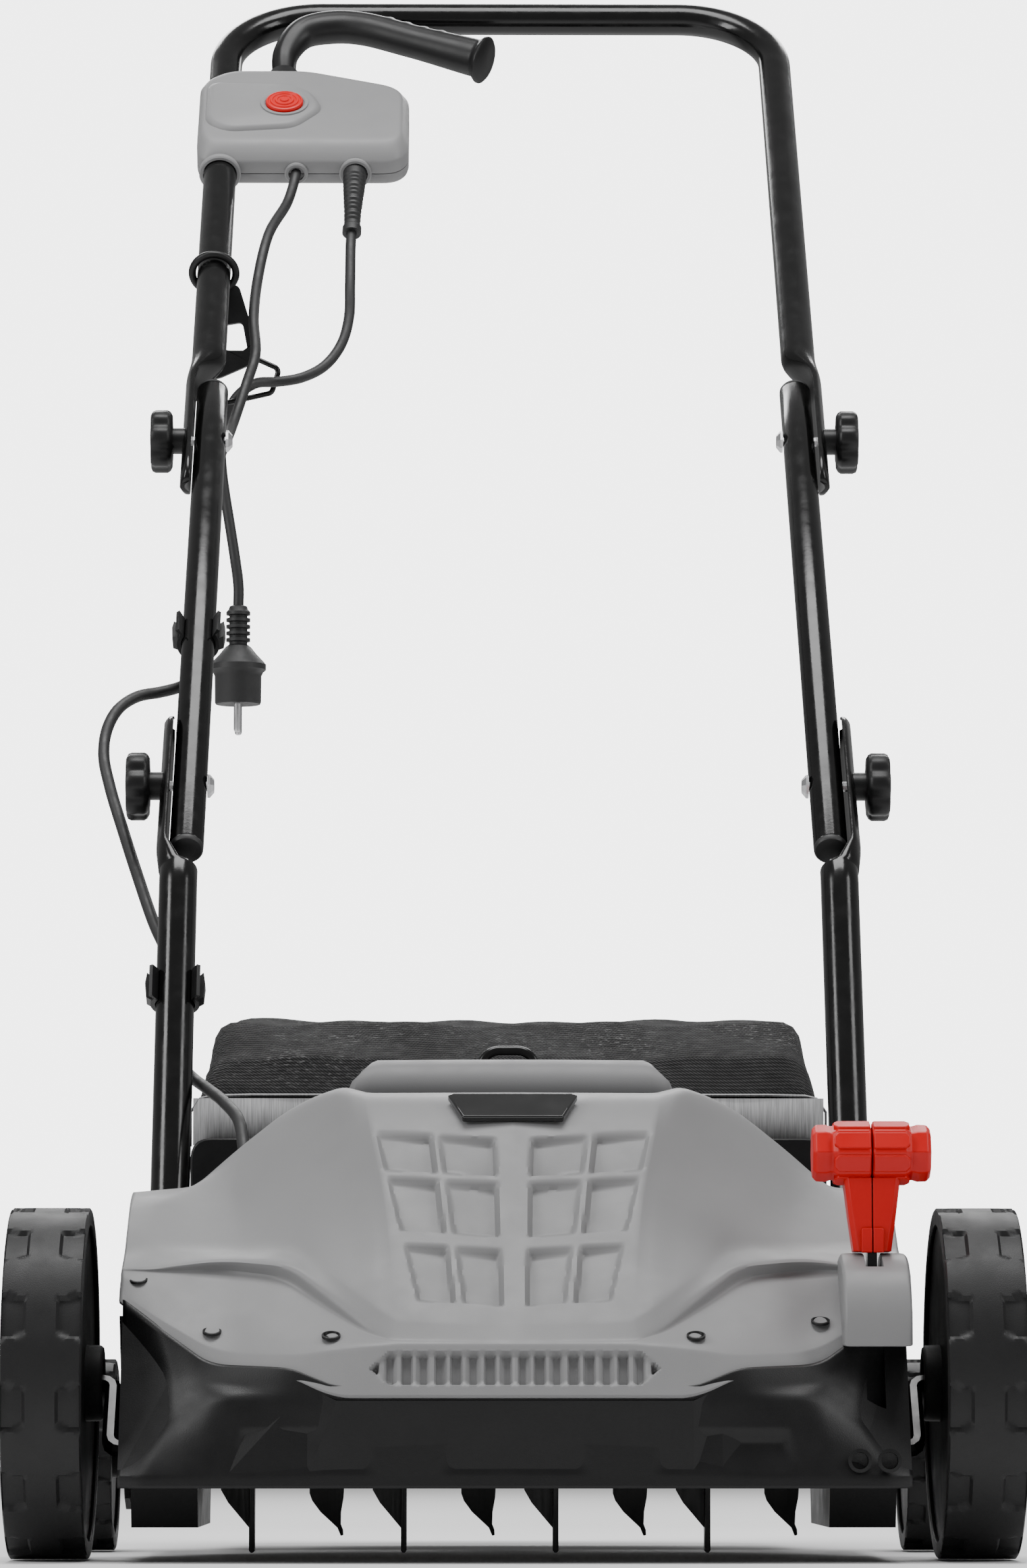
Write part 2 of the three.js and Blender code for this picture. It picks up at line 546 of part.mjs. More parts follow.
// The bag is a sheet folded round from its mouth to its closed back: rings of points from front to back.
function bagRing(y, half, low, high, corner) {
  const top = Math.min(corner, (high - low) / 3);
  return [
    [-half, y, low + corner], [-half + corner, y, low], [half - corner, y, low], [half, y, low + corner],
    [half, y, high - top], [half - corner, y, high], [0, y, high],
    [-half + corner, y, high], [-half, y, high - top],
  ];
}
function bagFabric() {
  const rings = (inset) => [
    bagRing(BAG.front, BAG.half - inset, 64 + inset, 234 - inset, 14),
    bagRing(BAG.front + 9, BAG.half - inset, 60 + inset, 260 - inset, 18),
    bagRing(BAG.front + 100, BAG.half - 6 - inset, 56 + inset, 312 - inset, 24),
    bagRing(BAG.front + 190, BAG.half - 10 - inset, 58 + inset, 310 - inset, 30),
    bagRing(BAG.front + 226 - inset, BAG.half - 28 - inset, 84 + inset, 286 - inset, 30),
  ];
  const inside = rings(2);
  inside[0] = inside[0].map(([x, , z]) => [x, BAG.front - 5, z]);
  const bail = box(-22, 22, BAG.front - 10, BAG.front + 12, 222, 300);
  return cut(loftAlongY(rings(0)), loftAlongY(inside), bail);
}
function loftAlongY(rings) {
  const turnedRings = rings.map((ring) => ring.map(([x, y, z]) => [y, x, z]));
  return loft(turnedRings).applyMatrix4(new THREE.Matrix4().makeBasis(
    new THREE.Vector3(0, 1, 0), new THREE.Vector3(-1, 0, 0), new THREE.Vector3(0, 0, 1)));
}
add(deck, "bag_fabric", bagFabric(), MESH);

// ---- handle tubes -------------------------------------------------------------------------------
// Tools that leave a tube end as a flat tongue outside the mid tube, with its bolt hole.
function pressed(side, from, to, bolt) {
  const face = side * (MID_X + MID_TUBE_R + GAP);
  const beyond = face - side * 60;
  return [
    box(Math.min(face, beyond), Math.max(face, beyond), from, to, -30, 30),
    rodX(3.6, side * UPPER_X - 30, side * UPPER_X + 30, bolt, 0, 8),
  ];
}

function upperTube() {
  const half = [[UPPER_X, -52, 0], [UPPER_X, CROSSBAR, 0]];
  const route = rounded([...half, [-UPPER_X, CROSSBAR, 0], [-UPPER_X, -52, 0]], CORNER_R, 5);
  const tools = SIDES.flatMap(([, side]) => pressed(side, -54, 62, 0));
  return cut(sweep(route, TUBE_R, 12), ...tools);
}
add(handle, "upper_handle", upperTube(), PAINT);

const lowerBoltA = -MID_SPAN;
for (const [name, side] of SIDES) {
  const x = side * MID_X;
  const tube = cut(
    sweep([[x, lowerBoltA - 60, 0], [x, 56, 0]], MID_TUBE_R, 12),
    sweep([[x, lowerBoltA - 70, 0], [x, 66, 0]], MID_TUBE_R - TUBE_WALL, 8),
    rodX(3.6, x - 20, x + 20, 0, 0, 8),
    rodX(3.6, x - 20, x + 20, lowerBoltA, 0, 8));
  add(handle, `mid_tube_${name}`, tube, PAINT);
  const plug = (end, out) => join(
    sweep([[x, end - out * 12, 0], [x, end + out * 0.4, 0]], MID_TUBE_R - TUBE_WALL - 0.8, 8),
    sweep([[x, end + out * 0.3, 0], [x, end + out * 3, 0]], MID_TUBE_R - 0.2, 12));
  add(handle, `end_cap_upper_${name}`, plug(56, 1), RUBBER);
  add(handle, `end_cap_lower_${name}`, plug(lowerBoltA - 60, -1), RUBBER);

  const lower = sweep(lowerTubeRoute(side), TUBE_R, 12);
  const tools = pressed(side, lowerBoltA - 66, lowerBoltA + 64, lowerBoltA)
    .map((g) => g.rotateX(LEAN).translate(0, UPPER_BOLT.y, UPPER_BOLT.z));
  add(deck, `lower_tube_${name}`, cut(lower, ...tools), PAINT);
}

// A star knob on a carriage bolt that clamps two tubes together.
function knob(side) {
  const lobes = 7;
  const star = Array.from({ length: lobes * 2 }, (_, k) => {
    const turn = (k / (lobes * 2)) * 2 * Math.PI;
    const r = k % 2 ? 16.5 : 20;
    return [r * Math.cos(turn), r * Math.sin(turn)];
  });
  const from = side * 210;
  const head = profileX(star, side > 0 ? from : from - 15, side > 0 ? from + 15 : from);
  const neck = rodX(9, Math.min(side * 202.6, side * 211), Math.max(side * 202.6, side * 211), 0, 0, 10);
  const bore = rodX(3.4, Math.min(side * 200, side * 222), Math.max(side * 200, side * 222), 0, 0, 8);
  return cut(join(head, neck), bore);
}
const BOLT_END = 220; // where the bolt's thread stops inside its knob
function bolt(side) {
  const inner = side * (MID_X - MID_TUBE_R - 0.3);
  const depth = [[-4, 0], [-4, 4], [-1.5, 7], [0, 7], [0, 3]];
  const right = [...depth.map(([along, r]) => [side * inner + along, r]), [BOLT_END, 3], [BOLT_END, 0]];
  return turned(side > 0 ? right : right.map(([x, r]) => [-x, r]).reverse(), 8);
}
for (const [level, a] of [["upper", 0], ["lower", lowerBoltA]])
  for (const [name, side] of SIDES) {
    add(handle, `knob_${level}_${name}`, knob(side).translate(0, a, 0), BLACK);
    add(handle, `bolt_${level}_${name}`, bolt(side).translate(0, a, 0), STEEL);
  }

// A snap clip that holds the motor cable behind a tube.
function clip(tubeR) {
  const ring = (r, from, to) => Array.from({ length: 9 }, (_, k) => {
    const turn = from + ((to - from) * k) / 8;
    return [r * Math.cos(turn), r * Math.sin(turn)];
  });
  const from = THREE.MathUtils.degToRad(-215);
  const to = THREE.MathUtils.degToRad(35);
  const cup = plate([...ring(tubeR + 3.2, from, to), ...ring(tubeR + 0.5, to, from)], -10, 10);
  const holder = plate([[-8, -tubeR - 11], [8, -tubeR - 11], [8, -tubeR - 1.5], [-8, -tubeR - 1.5]], -7, 7);
  const cableWay = plate(disc(CORD_R + 3 * GAP, 8).map(([x, z]) => [x, z - tubeR - 6.5]), -20, 20);
  return cut(join(cup, holder), cableWay).rotateX(Math.PI / 2);
}
const CLIP_MID = -215;
const CLIP_LOW = { z: 318 };
add(handle, "cable_clip_mid", clip(MID_TUBE_R).translate(-MID_X, CLIP_MID, 0), BLACK);
const [BEND_Y, BEND_Z] = alongHandle(-MID_SPAN - 88);
const lowerLean = Math.atan2(BEND_Z - LOWER_END.z, BEND_Y - LOWER_END.y);
const lowerAt = (z) => LOWER_END.y + (z - LOWER_END.z) / Math.tan(lowerLean);
add(deck, "cable_clip_low", clip(TUBE_R).rotateX(lowerLean)
  .translate(-UPPER_X, lowerAt(CLIP_LOW.z), CLIP_LOW.z), BLACK);

// ---- switch box ---------------------------------------------------------------------------------
const BOX = { low: 331, split: -1, top: 18, bottom: -14 };
const boxOutline = [
  [-207, 346], [-203, BOX.low], [-72, BOX.low], [-63, 343], [-63, 412],
  [-72, 424], [-132, 446], [-190, 446], [-207, 430],
];
const boxTopOutline = [
  [-203, 352], [-197, 343], [-76, 343], [-68, 350], [-68, 408],
  [-76, 418], [-134, 438], [-186, 438], [-203, 424],
];
const plinthOutline = [
  [-200, 368], [-186, 356], [-140, 362], [-124, 382], [-130, 402], [-146, 412], [-200, 412],
];
const BUTTON = { x: -148, a: 387 };
function switchBoxTop() {
  const sections = [[BOX.split + 0.2, boxOutline], [8, boxOutline], [BOX.top, boxTopOutline]];
  const body = loftAlongZ(sections);
  const plinth = plate(plinthOutline, 10, BOX.top + 4);
  const buttonHole = plate(disc(13.6, 16), 8, 40).translate(BUTTON.x, BUTTON.a, 0);
  return cut(join(body, plinth), ...boxRooms(), buttonHole);
}
function switchBoxBase() {
  const sections = [[BOX.bottom, boxTopOutline], [BOX.bottom + 7, boxOutline], [BOX.split - 0.2, boxOutline]];
  return cut(loftAlongZ(sections), ...boxRooms());
}
function loftAlongZ(sections) {
  return loft(sections.map(([z, ring]) => ring.map(([x, y]) => [z, x, y])))
    .applyMatrix4(new THREE.Matrix4().makeBasis(
      new THREE.Vector3(0, 0, 1), new THREE.Vector3(1, 0, 0), new THREE.Vector3(0, 1, 0)));
}
// Room inside the box for the tube, the button, the lever's foot and the two cable glands.
function boxRooms() {
  return [
    sweep([[-UPPER_X, 300, 0], [-UPPER_X, 470, 0]], TUBE_R + GAP, 12),
    box(-176, -74, 350, 408, -9, 11),
    box(-172, -139, 398, 460, -7, 11.5),
    sweep([[SUPPLY_X, 325, 0], [SUPPLY_X, 355, 0]], 8.6, 10),
    sweep([[CABLE_X - 0.6, 325, 0], [CABLE_X - 0.6, 355, 0]], CORD_R + 1.6, 8),
  ];
}
const SUPPLY_X = -99;
const CABLE_X = -139;
add(handle, "switch_box_top", switchBoxTop(), GREY);
add(handle, "switch_box_base", switchBoxBase(), GREY);
add(handle, "safety_button", join(
  plate(disc(13, 16), 4, 24.5), plate(disc(10, 12), 24.4, 25.6)).translate(BUTTON.x, BUTTON.a, 0), RED);

const PIVOT = { x: -150, a: 414 }; // the bail lever's axis
function bailLever() {
  const n = 3;
  const neckRoute = [
    [-150, 412, n], [-150, 452, n], [-149, 480, n + 6],
    [-134, 504, n + 12], [-106, 506, n + 13], [-80, 494, n + 13],
  ];
  const neck = sweep(smooth(neckRoute, 12), 7.5, 8);
  const grip = sweep([[-106, 506, n + 13], [-88, 498, n + 13], [-14, 457, n + 13]], 13, 10);
  const flange = sweep([[-14.4, 457.2, n + 13], [-11, 455.4, n + 13]], 16.5, 12);
  const boss = plate(disc(8, 10).map(([x, y]) => [x + PIVOT.x, y + PIVOT.a]), -5, 9);
  return join(neck, grip, flange, boss);
}
add(handle, "bail_lever", bailLever(), BLACK);

// ---- cord hook and cables -----------------------------------------------------------------------
// It hangs upright behind the tube from a ring: a pierced plate with a wire loop for the cord below it.
const HOOK_A = 202; // where the hook's ring sits along the handle
function cordHook() {
  const ring = new THREE.TorusGeometry(14.4, 2.5, 6, 16).rotateX(Math.PI / 2);
  const web = cut(
    plate([[-8, -6], [16, -6], [27, -42], [27, -58], [2, -69], [-10, -69]], -2.5, 2.5),
    plate([[8, -31], [19, -31], [22, -50], [3, -50]], -4, 4));
  const loop = rounded([[25, -54, 0], [43, -62, 0], [38, -78, 0], [-6, -88, 0], [-6, -66, 0]], 3, 2);
  const upright = join(web.rotateX(Math.PI / 2), sweep(loop, 1.8, 6).rotateX(Math.PI / 2))
    .translate(0, 12, 0).rotateX(-LEAN);
  return join(ring, upright).translate(-UPPER_X, HOOK_A, 0);
}
add(handle, "cord_hook", cordHook(), BLACK);

add(handle, "cord_boot", cut(
  sweep([[SUPPLY_X, 345, 0], [SUPPLY_X, 328, 0], [SUPPLY_X - 1, 300, -4], [SUPPLY_X - 2, 272, -12]], 8, 10),
  sweep([[SUPPLY_X - 1.6, 284, -8.6], [SUPPLY_X - 2.4, 262, -14.9]], CORD_R + GAP, 8)), RUBBER);

const inHandle = (points) => points.map(([x, a, n]) => [x, ...alongHandle(a, n)]);
const PLUG = { x: -174, y: 762, z: 608 };
const supplyRoute = [
  ...inHandle([[SUPPLY_X - 1.7, 281, -9.4], [SUPPLY_X - 2.4, 262, -14.9]]),
  [-101.5, 790, 828], [-102, 783, 805], [-107, 774, 785], [-118, 765, 769], [-133, 758, 760],
  [-149, 756.5, 757], [-163, 762, 757], [-175, 769, 750], [-183, 774, 737], [-186.5, 775, 721],
  [-186, 772.5, 703], [-183.5, 768.5, 684], [-180, 765, 663], [-176.5, 762.6, 641],
  [PLUG.x, PLUG.y, PLUG.z + 14], [PLUG.x, PLUG.y, PLUG.z + 0.5],
];
add(deck, "supply_cord", sweep(smooth(supplyRoute, 44), CORD_R, 8), RUBBER);

function plug() {
  const body = [[0, 0], [0, 9], [3, 9.5], [6, 7.5], [26, 8.5], [33, 14],
    [37, 18], [41, 18.5], [43, 15.5], [65, 15], [65, 0]];
  const shape = new THREE.LatheGeometry(body.map(([down, r]) => new THREE.Vector2(r, -down)).reverse(), 14)
    .rotateX(Math.PI / 2);
  const pins = [-9.5, 9.5].map((y) =>
    new THREE.CylinderGeometry(2.4, 2.4, 22, 8).rotateX(Math.PI / 2).translate(0, y, -73));
  return join(shape, ...pins).translate(PLUG.x, PLUG.y, PLUG.z);
}
add(deck, "plug", plug(), RUBBER);

const upperCableRoute = [
  ...inHandle([[CABLE_X, 347, 0], [CABLE_X - 0.5, 328, -0.4], [-144, 303, -5]]),
  [-156, 790, 862], [-162, 768, 830], [-164, 738, 796], [-162, 715, 768], [-167, 700, 747], [-175, 676, 716],
  ...inHandle([[-184, -8, -18], [-187, -50, -17.5], [-187, -120, -17], [-187, CLIP_MID + 12, -16.5]]),
];
add(deck, "motor_cable_upper", sweep(smooth(upperCableRoute, 36), CORD_R, 8), RUBBER);
const behindLower = (z, n) => [-UPPER_X, lowerAt(z) + n * Math.sin(lowerLean), z - n * Math.cos(lowerLean)];
const lowerCableRoute = [
  ...inHandle([[-187, CLIP_MID + 11, -16.5], [-187, CLIP_MID, -16.5], [-187, CLIP_MID - 12, -16.5]]),
  ...inHandle([[-189.5, CLIP_MID - 23, -16], [-197.5, CLIP_MID - 34, -14], [-209, CLIP_MID - 43, -11.5]]),
  [-222, 413, 507.5], [-232.5, 403.5, 499.5], [-239, 391.5, 486], [-240.5, 378.5, 468.5],
  [-236, 365, 448], [-227, 346, 420], [-217, 320, 391], [-206, 292, 361],
  behindLower(CLIP_LOW.z + 15, 17.5), behindLower(CLIP_LOW.z, 17.5), behindLower(CLIP_LOW.z - 15, 17.5),
  behindLower(CLIP_LOW.z - 32, 18.5), [-182, 232, 269], [-171, 208, 260], [-160, 178, 250.5],
  [-151, 151, 238.5], [-147.5, 133, 220.5], [-145, 118, 204],
];
add(deck, "motor_cable_lower", sweep(smooth(lowerCableRoute, 52), CORD_R, 8), RUBBER);

export default dethatcher;
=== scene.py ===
"""The looks of the lawn dethatcher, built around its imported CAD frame. Metres, +Z up, front at -Y."""
import json
import math

import bmesh
import bpy
import numpy as np
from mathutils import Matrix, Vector


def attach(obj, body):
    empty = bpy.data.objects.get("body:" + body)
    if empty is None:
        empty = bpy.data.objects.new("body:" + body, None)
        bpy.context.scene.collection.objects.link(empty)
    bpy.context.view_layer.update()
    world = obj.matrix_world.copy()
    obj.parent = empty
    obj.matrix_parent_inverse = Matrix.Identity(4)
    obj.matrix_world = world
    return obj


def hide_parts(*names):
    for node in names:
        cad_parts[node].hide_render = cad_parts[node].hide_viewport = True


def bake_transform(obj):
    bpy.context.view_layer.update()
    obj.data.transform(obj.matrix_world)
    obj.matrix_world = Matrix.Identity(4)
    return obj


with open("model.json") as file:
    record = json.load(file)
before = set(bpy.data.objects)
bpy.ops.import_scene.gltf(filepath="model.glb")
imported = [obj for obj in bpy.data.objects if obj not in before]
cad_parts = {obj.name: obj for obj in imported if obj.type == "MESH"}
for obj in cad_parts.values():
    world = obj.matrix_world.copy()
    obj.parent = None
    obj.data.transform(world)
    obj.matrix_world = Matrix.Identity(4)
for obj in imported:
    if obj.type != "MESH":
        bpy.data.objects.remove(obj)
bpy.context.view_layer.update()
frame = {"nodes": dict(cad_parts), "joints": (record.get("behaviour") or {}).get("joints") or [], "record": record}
nodes = frame["nodes"]

# ---- driving places, worked out from the frame --------------------------------------------------
JOINTS = {joint["name"]: joint for joint in frame["joints"]}


def joint_at(name):
    return Vector(JOINTS[name]["pos_m"])


LOWER_BOLT = joint_at("mid_fold")
UPPER_BOLT = joint_at("upper_fold")
ALONG = (UPPER_BOLT - LOWER_BOLT).normalized()  # up along the handle
OUT = Vector((1, 0, 0)).cross(ALONG)  # out of the handle's upper face
AXLE_Y = joint_at("front_left_roll").y  # the front axle; many places are measured from it
MM = 0.001


def at(x, y, z):
    """A place in millimetres across, behind the front axle and above the ground."""
    return Vector((x * MM, AXLE_Y + y * MM, z * MM))


def on_handle(x, a, n=0.0):
    """A place in millimetres across, up the handle from the upper bolts and out of its upper face."""
    return Vector((x * MM, 0, 0)) + UPPER_BOLT + ALONG * a * MM + OUT * n * MM


# ---- camera, light and floor --------------------------------------------------------------------
def make_camera():
    data = bpy.data.cameras.new("camera")
    data.sensor_width = 36
    data.lens = 144.45
    data.clip_end = 50
    camera = bpy.data.objects.new("camera", data)
    camera.location = at(-31.5, -3350, 65.8)
    camera.rotation_euler = (math.radians(95.9), 0, math.radians(-0.54))
    bpy.context.collection.objects.link(camera)
    bpy.context.scene.camera = camera


def area_light(name, place, target, size, power):
    data = bpy.data.lights.new(name, "AREA")
    data.shape = "RECTANGLE"
    data.size, data.size_y = size
    data.energy = power
    light = bpy.data.objects.new(name, data)
    light.location = place
    light.rotation_euler = (Vector(target) - Vector(place)).to_track_quat("-Z", "Y").to_euler()
    bpy.context.collection.objects.link(light)


def make_studio():
    """A white room: the object is lit softly, and what shows behind it is brighter than its light."""
    world = bpy.data.worlds.new("studio")
    world.use_nodes = True
    tree = world.node_tree
    soft = tree.nodes["Background"]
    soft.inputs["Color"].default_value = (1, 1, 1, 1)
    soft.inputs["Strength"].default_value = 0.36
    behind = tree.nodes.new("ShaderNodeBackground")
    behind.inputs["Color"].default_value = (1, 1, 1, 1)
    behind.inputs["Strength"].default_value = 4.5
    seen = tree.nodes.new("ShaderNodeLightPath")
    mix = tree.nodes.new("ShaderNodeMixShader")
    tree.links.new(seen.outputs["Is Camera Ray"], mix.inputs[0])
    tree.links.new(soft.outputs[0], mix.inputs[1])
    tree.links.new(behind.outputs[0], mix.inputs[2])
    tree.links.new(mix.outputs[0], tree.nodes["World Output"].inputs["Surface"])
    bpy.context.scene.world = world
    area_light("key_left", (-2.6, -1.4, 1.9), (0, -0.2, 0.4), (0.9, 1.8), 58)
    area_light("key_right", (2.6, -1.4, 1.9), (0, -0.2, 0.4), (0.9, 1.8), 36)
    area_light("top", (0, -0.4, 3.0), (0, 0, 0.3), (2.0, 1.2), 85)
    area_light("rim", (0, 2.6, 2.4), (0, 0, 0.5), (2.4, 1.0), 60)
    bpy.ops.mesh.primitive_plane_add(size=14, location=(0, 2, -0.0005))
    floor = bpy.context.active_object
    floor.name = "floor"
    floor.data.materials.append(plain("floor_white", (0.85, 0.85, 0.85), 0.5))


# ---- materials ----------------------------------------------------------------------------------
def plain(name, colour, roughness):
    material = bpy.data.materials.new(name)
    material.use_nodes = True
    shader = material.node_tree.nodes["Principled BSDF"]
    shader.inputs["Base Color"].default_value = (*colour, 1)
    shader.inputs["Roughness"].default_value = roughness
    return material


class Nodes:
    """A material's node tree, with its shader and short calls that add and join nodes."""

    def __init__(self, name):
        self.material = bpy.data.materials.new(name)
        self.material.use_nodes = True
        self.tree = self.material.node_tree
        self.shader = self.tree.nodes["Principled BSDF"]
        self.place = self.tree.nodes.new("ShaderNodeTexCoord").outputs["Object"]

    def set(self, **values):
        for socket, value in values.items():
            self.shader.inputs[socket.replace("_", " ")].default_value = value

    def add(self, kind, inputs=None, **settings):
        node = self.tree.nodes.new(kind)
        for key, value in settings.items():
            setattr(node, key, value)
        for socket, value in (inputs or {}).items():
            if isinstance(value, bpy.types.NodeSocket):
                self.tree.links.new(value, node.inputs[socket])
            else:
                node.inputs[socket].default_value = value
        return node

    def join(self, output, socket):
        self.tree.links.new(output, self.shader.inputs[socket])

    def noise(self, scale, detail=2.0):
        return self.add("ShaderNodeTexNoise",
                        {"Vector": self.place, "Scale": scale, "Detail": detail}).outputs["Fac"]

    def ramp(self, value, low, high):
        """A grey value spread from low to high as `value` goes from 0.3 to 0.7."""
        return self.add("ShaderNodeMapRange", {"Value": value, "From Min": 0.3, "From Max": 0.7,
                                               "To Min": low, "To Max": high}).outputs["Result"]

    def mix(self, value, dark, light):
        node = self.add("ShaderNodeMix", {"Factor": value}, data_type="RGBA")
        node.inputs["A"].default_value = (*dark, 1)
        node.inputs["B"].default_value = (*light, 1)
        return node.outputs["Result"]

    def bump(self, height, strength, distance):
        return self.add("ShaderNodeBump", {"Height": height, "Strength": strength,
                                           "Distance": distance}).outputs["Normal"]


def moulded(name, colour, roughness, grain=0.25, coat=0.0):
    """Moulded plastic: a fine spark-eroded grain, faint cloudiness and slightly uneven gloss."""
    m = Nodes(name)
    darker = [c * 0.93 for c in colour]
    m.join(m.mix(m.ramp(m.noise(9), 0, 1), darker, colour), "Base Color")
    m.join(m.ramp(m.noise(60, 4), roughness - 0.05, roughness + 0.06), "Roughness")
    m.join(m.bump(m.noise(1700, 3), grain, 0.0002), "Normal")
    m.set(Specular_IOR_Level=0.3)
    if coat:
        m.set(Coat_Weight=coat, Coat_Roughness=0.15)
    return m.material


def painted(name, colour):
    """Powder coat: glossy with a faint orange peel."""
    m = Nodes(name)
    m.join(m.mix(m.ramp(m.noise(12), 0, 1), [c * 0.8 for c in colour], colour), "Base Color")
    m.join(m.ramp(m.noise(90), 0.13, 0.24), "Roughness")
    m.join(m.bump(m.noise(420), 0.12, 0.0003), "Normal")
    m.set(Specular_IOR_Level=0.35)
    return m.material


def steel(name, colour, roughness):
    """Bare or plated steel with fine brushing and a few darker patches."""
    m = Nodes(name)
    stretched = m.add("ShaderNodeMapping", {"Vector": m.place, "Scale": (900, 40, 40)}).outputs["Vector"]
    brushed = m.add("ShaderNodeTexNoise", {"Vector": stretched, "Scale": 1.0, "Detail": 3.0}).outputs["Fac"]
    m.join(m.mix(m.ramp(m.noise(45), 0, 1), [c * 0.7 for c in colour], colour), "Base Color")
    m.join(m.ramp(brushed, roughness - 0.08, roughness + 0.12), "Roughness")
    m.join(m.bump(brushed, 0.1, 0.0003), "Normal")
    m.set(Metallic=1.0)
    return m.material


def rubber(name, colour, roughness=0.55):
    m = Nodes(name)
    m.join(m.mix(m.ramp(m.noise(30), 0, 1), [c * 0.75 for c in colour], colour), "Base Color")
    m.join(m.ramp(m.noise(150), roughness - 0.07, roughness + 0.07), "Roughness")
    m.join(m.bump(m.noise(900), 0.15, 0.0002), "Normal")
    return m.material


KNIT_PITCH = 0.0022


def knit(name):
    """Black ribbed knit: upright ribs, and rows of grey specks on its upper face, which are painted light showing
    through the knit.
    """
    m = Nodes(name)
    parts = m.add("ShaderNodeSeparateXYZ", {"Vector": m.place}).outputs

    def worked(operation, first, second=None):
        inputs = {0: first} if second is None else {0: first, 1: second}
        return m.add("ShaderNodeMath", inputs, operation=operation).outputs[0]

    def faded(value, low, high):
        return m.add("ShaderNodeMapRange",
                     {"Value": value, "From Min": low, "From Max": high}).outputs["Result"]

    rib_scale = 2 * math.pi / KNIT_PITCH
    across = worked("ADD", parts["X"], parts["Y"])
    ribs = worked("SINE", worked("MULTIPLY", across, rib_scale))
    rows = worked("SINE", worked("MULTIPLY", parts["Y"], rib_scale * 0.7))
    stretched = m.add("ShaderNodeMapping", {"Vector": m.place, "Scale": (260, 700, 700)}).outputs["Vector"]
    painted_light_noise = m.add("ShaderNodeTexNoise", {"Vector": stretched, "Scale": 1.0, "Detail": 2.0}).outputs["Fac"]
    # painted light: grey specks stand for light showing through the knit, kept to its upper face (object Z above
    # about 0.27 m)
    painted_light_specks = faded(painted_light_noise, 0.60, 0.70)
    painted_light_specks = worked("MULTIPLY", painted_light_specks, faded(m.noise(14), 0.42, 0.60))
    painted_light_specks = worked("MULTIPLY", painted_light_specks, faded(parts["Z"], 0.262, 0.285))
    m.join(m.mix(painted_light_specks, (0.002, 0.002, 0.0022), (0.14, 0.14, 0.14)), "Base Color")
    m.join(m.ramp(m.noise(120), 0.72, 0.88), "Roughness")
    m.join(m.bump(worked("ADD", ribs, rows), 0.45, 0.0005), "Normal")
    m.set(Sheen_Weight=0.05, Sheen_Roughness=0.5, Specular_IOR_Level=0.15)
    return m.material


def woven_band(name, colour):
    """The light band: fine crosswise threads, brushed unevenly."""
    m = Nodes(name)
    stretched = m.add("ShaderNodeMapping", {"Vector": m.place, "Scale": (1400, 60, 60)}).outputs["Vector"]
    threads = m.add("ShaderNodeTexNoise", {"Vector": stretched, "Scale": 1.0, "Detail": 3.0}).outputs["Fac"]
    m.join(m.mix(m.ramp(threads, 0, 1), [c * 0.55 for c in colour], colour), "Base Color")
    m.join(m.ramp(m.noise(80), 0.62, 0.8), "Roughness")
    m.join(m.bump(threads, 0.4, 0.0004), "Normal")
    m.set(Sheen_Weight=0.2, Sheen_Roughness=0.5)
    return m.material


GREY = moulded("cover_grey", (0.20, 0.20, 0.202), 0.45)
FLAP_GREY = moulded("flap_grey", (0.17, 0.17, 0.172), 0.5)
BLACK = moulded("housing_black", (0.0045, 0.0045, 0.0048), 0.42, 0.35)
WHEEL = moulded("wheel_black", (0.009, 0.009, 0.0093), 0.5, 0.4)
FITTING = moulded("fitting_black", (0.005, 0.005, 0.0052), 0.4, 0.3)
RED = moulded("signal_red", (0.55, 0.0008, 0.001), 0.4, 0.1)
BADGE = moulded("badge_gloss", (0.003, 0.003, 0.003), 0.12, 0.02, coat=0.8)
PAINT = painted("tube_paint", (0.003, 0.003, 0.003))
KNIFE = steel("knife_steel", (0.05, 0.05, 0.05), 0.42)
BRIGHT = steel("bright_steel", (0.62, 0.62, 0.63), 0.26)
RUBBER = rubber("cable_rubber", (0.009, 0.009, 0.0095))
BELT = rubber("belt_rubber", (0.006, 0.006, 0.006), 0.65)
CLOTH = knit("bag_mesh")
BAND = woven_band("bag_band", (0.34, 0.34, 0.345))

BY_SLOT = {
    "cover_grey": GREY, "flap_grey": FLAP_GREY, "housing_black": BLACK, "wheel_black": WHEEL,
    "fitting_black": FITTING, "red_plastic": RED, "badge_black": BADGE, "tube_black": PAINT,
    "knife_steel": KNIFE, "bright_steel": BRIGHT, "cable_rubber": RUBBER, "belt_rubber": BELT,
    "bag_mesh": CLOTH,
}


def dress_nodes():
    """Gives every CAD node its material and a small rounded edge."""
    for part in frame["record"]["subparts"]:
        obj = nodes[part["node"]]
        obj.data.materials.clear()
        obj.data.materials.append(BY_SLOT[part["material_slot"]])
        edge = obj.modifiers.new("edge", "BEVEL")
        edge.width = 0.0007
        edge.segments = 2
        edge.limit_method = "ANGLE"
        edge.angle_limit = math.radians(35)


# ---- building meshes ----------------------------------------------------------------------------
SIDES = (("left", -1), ("right", 1))


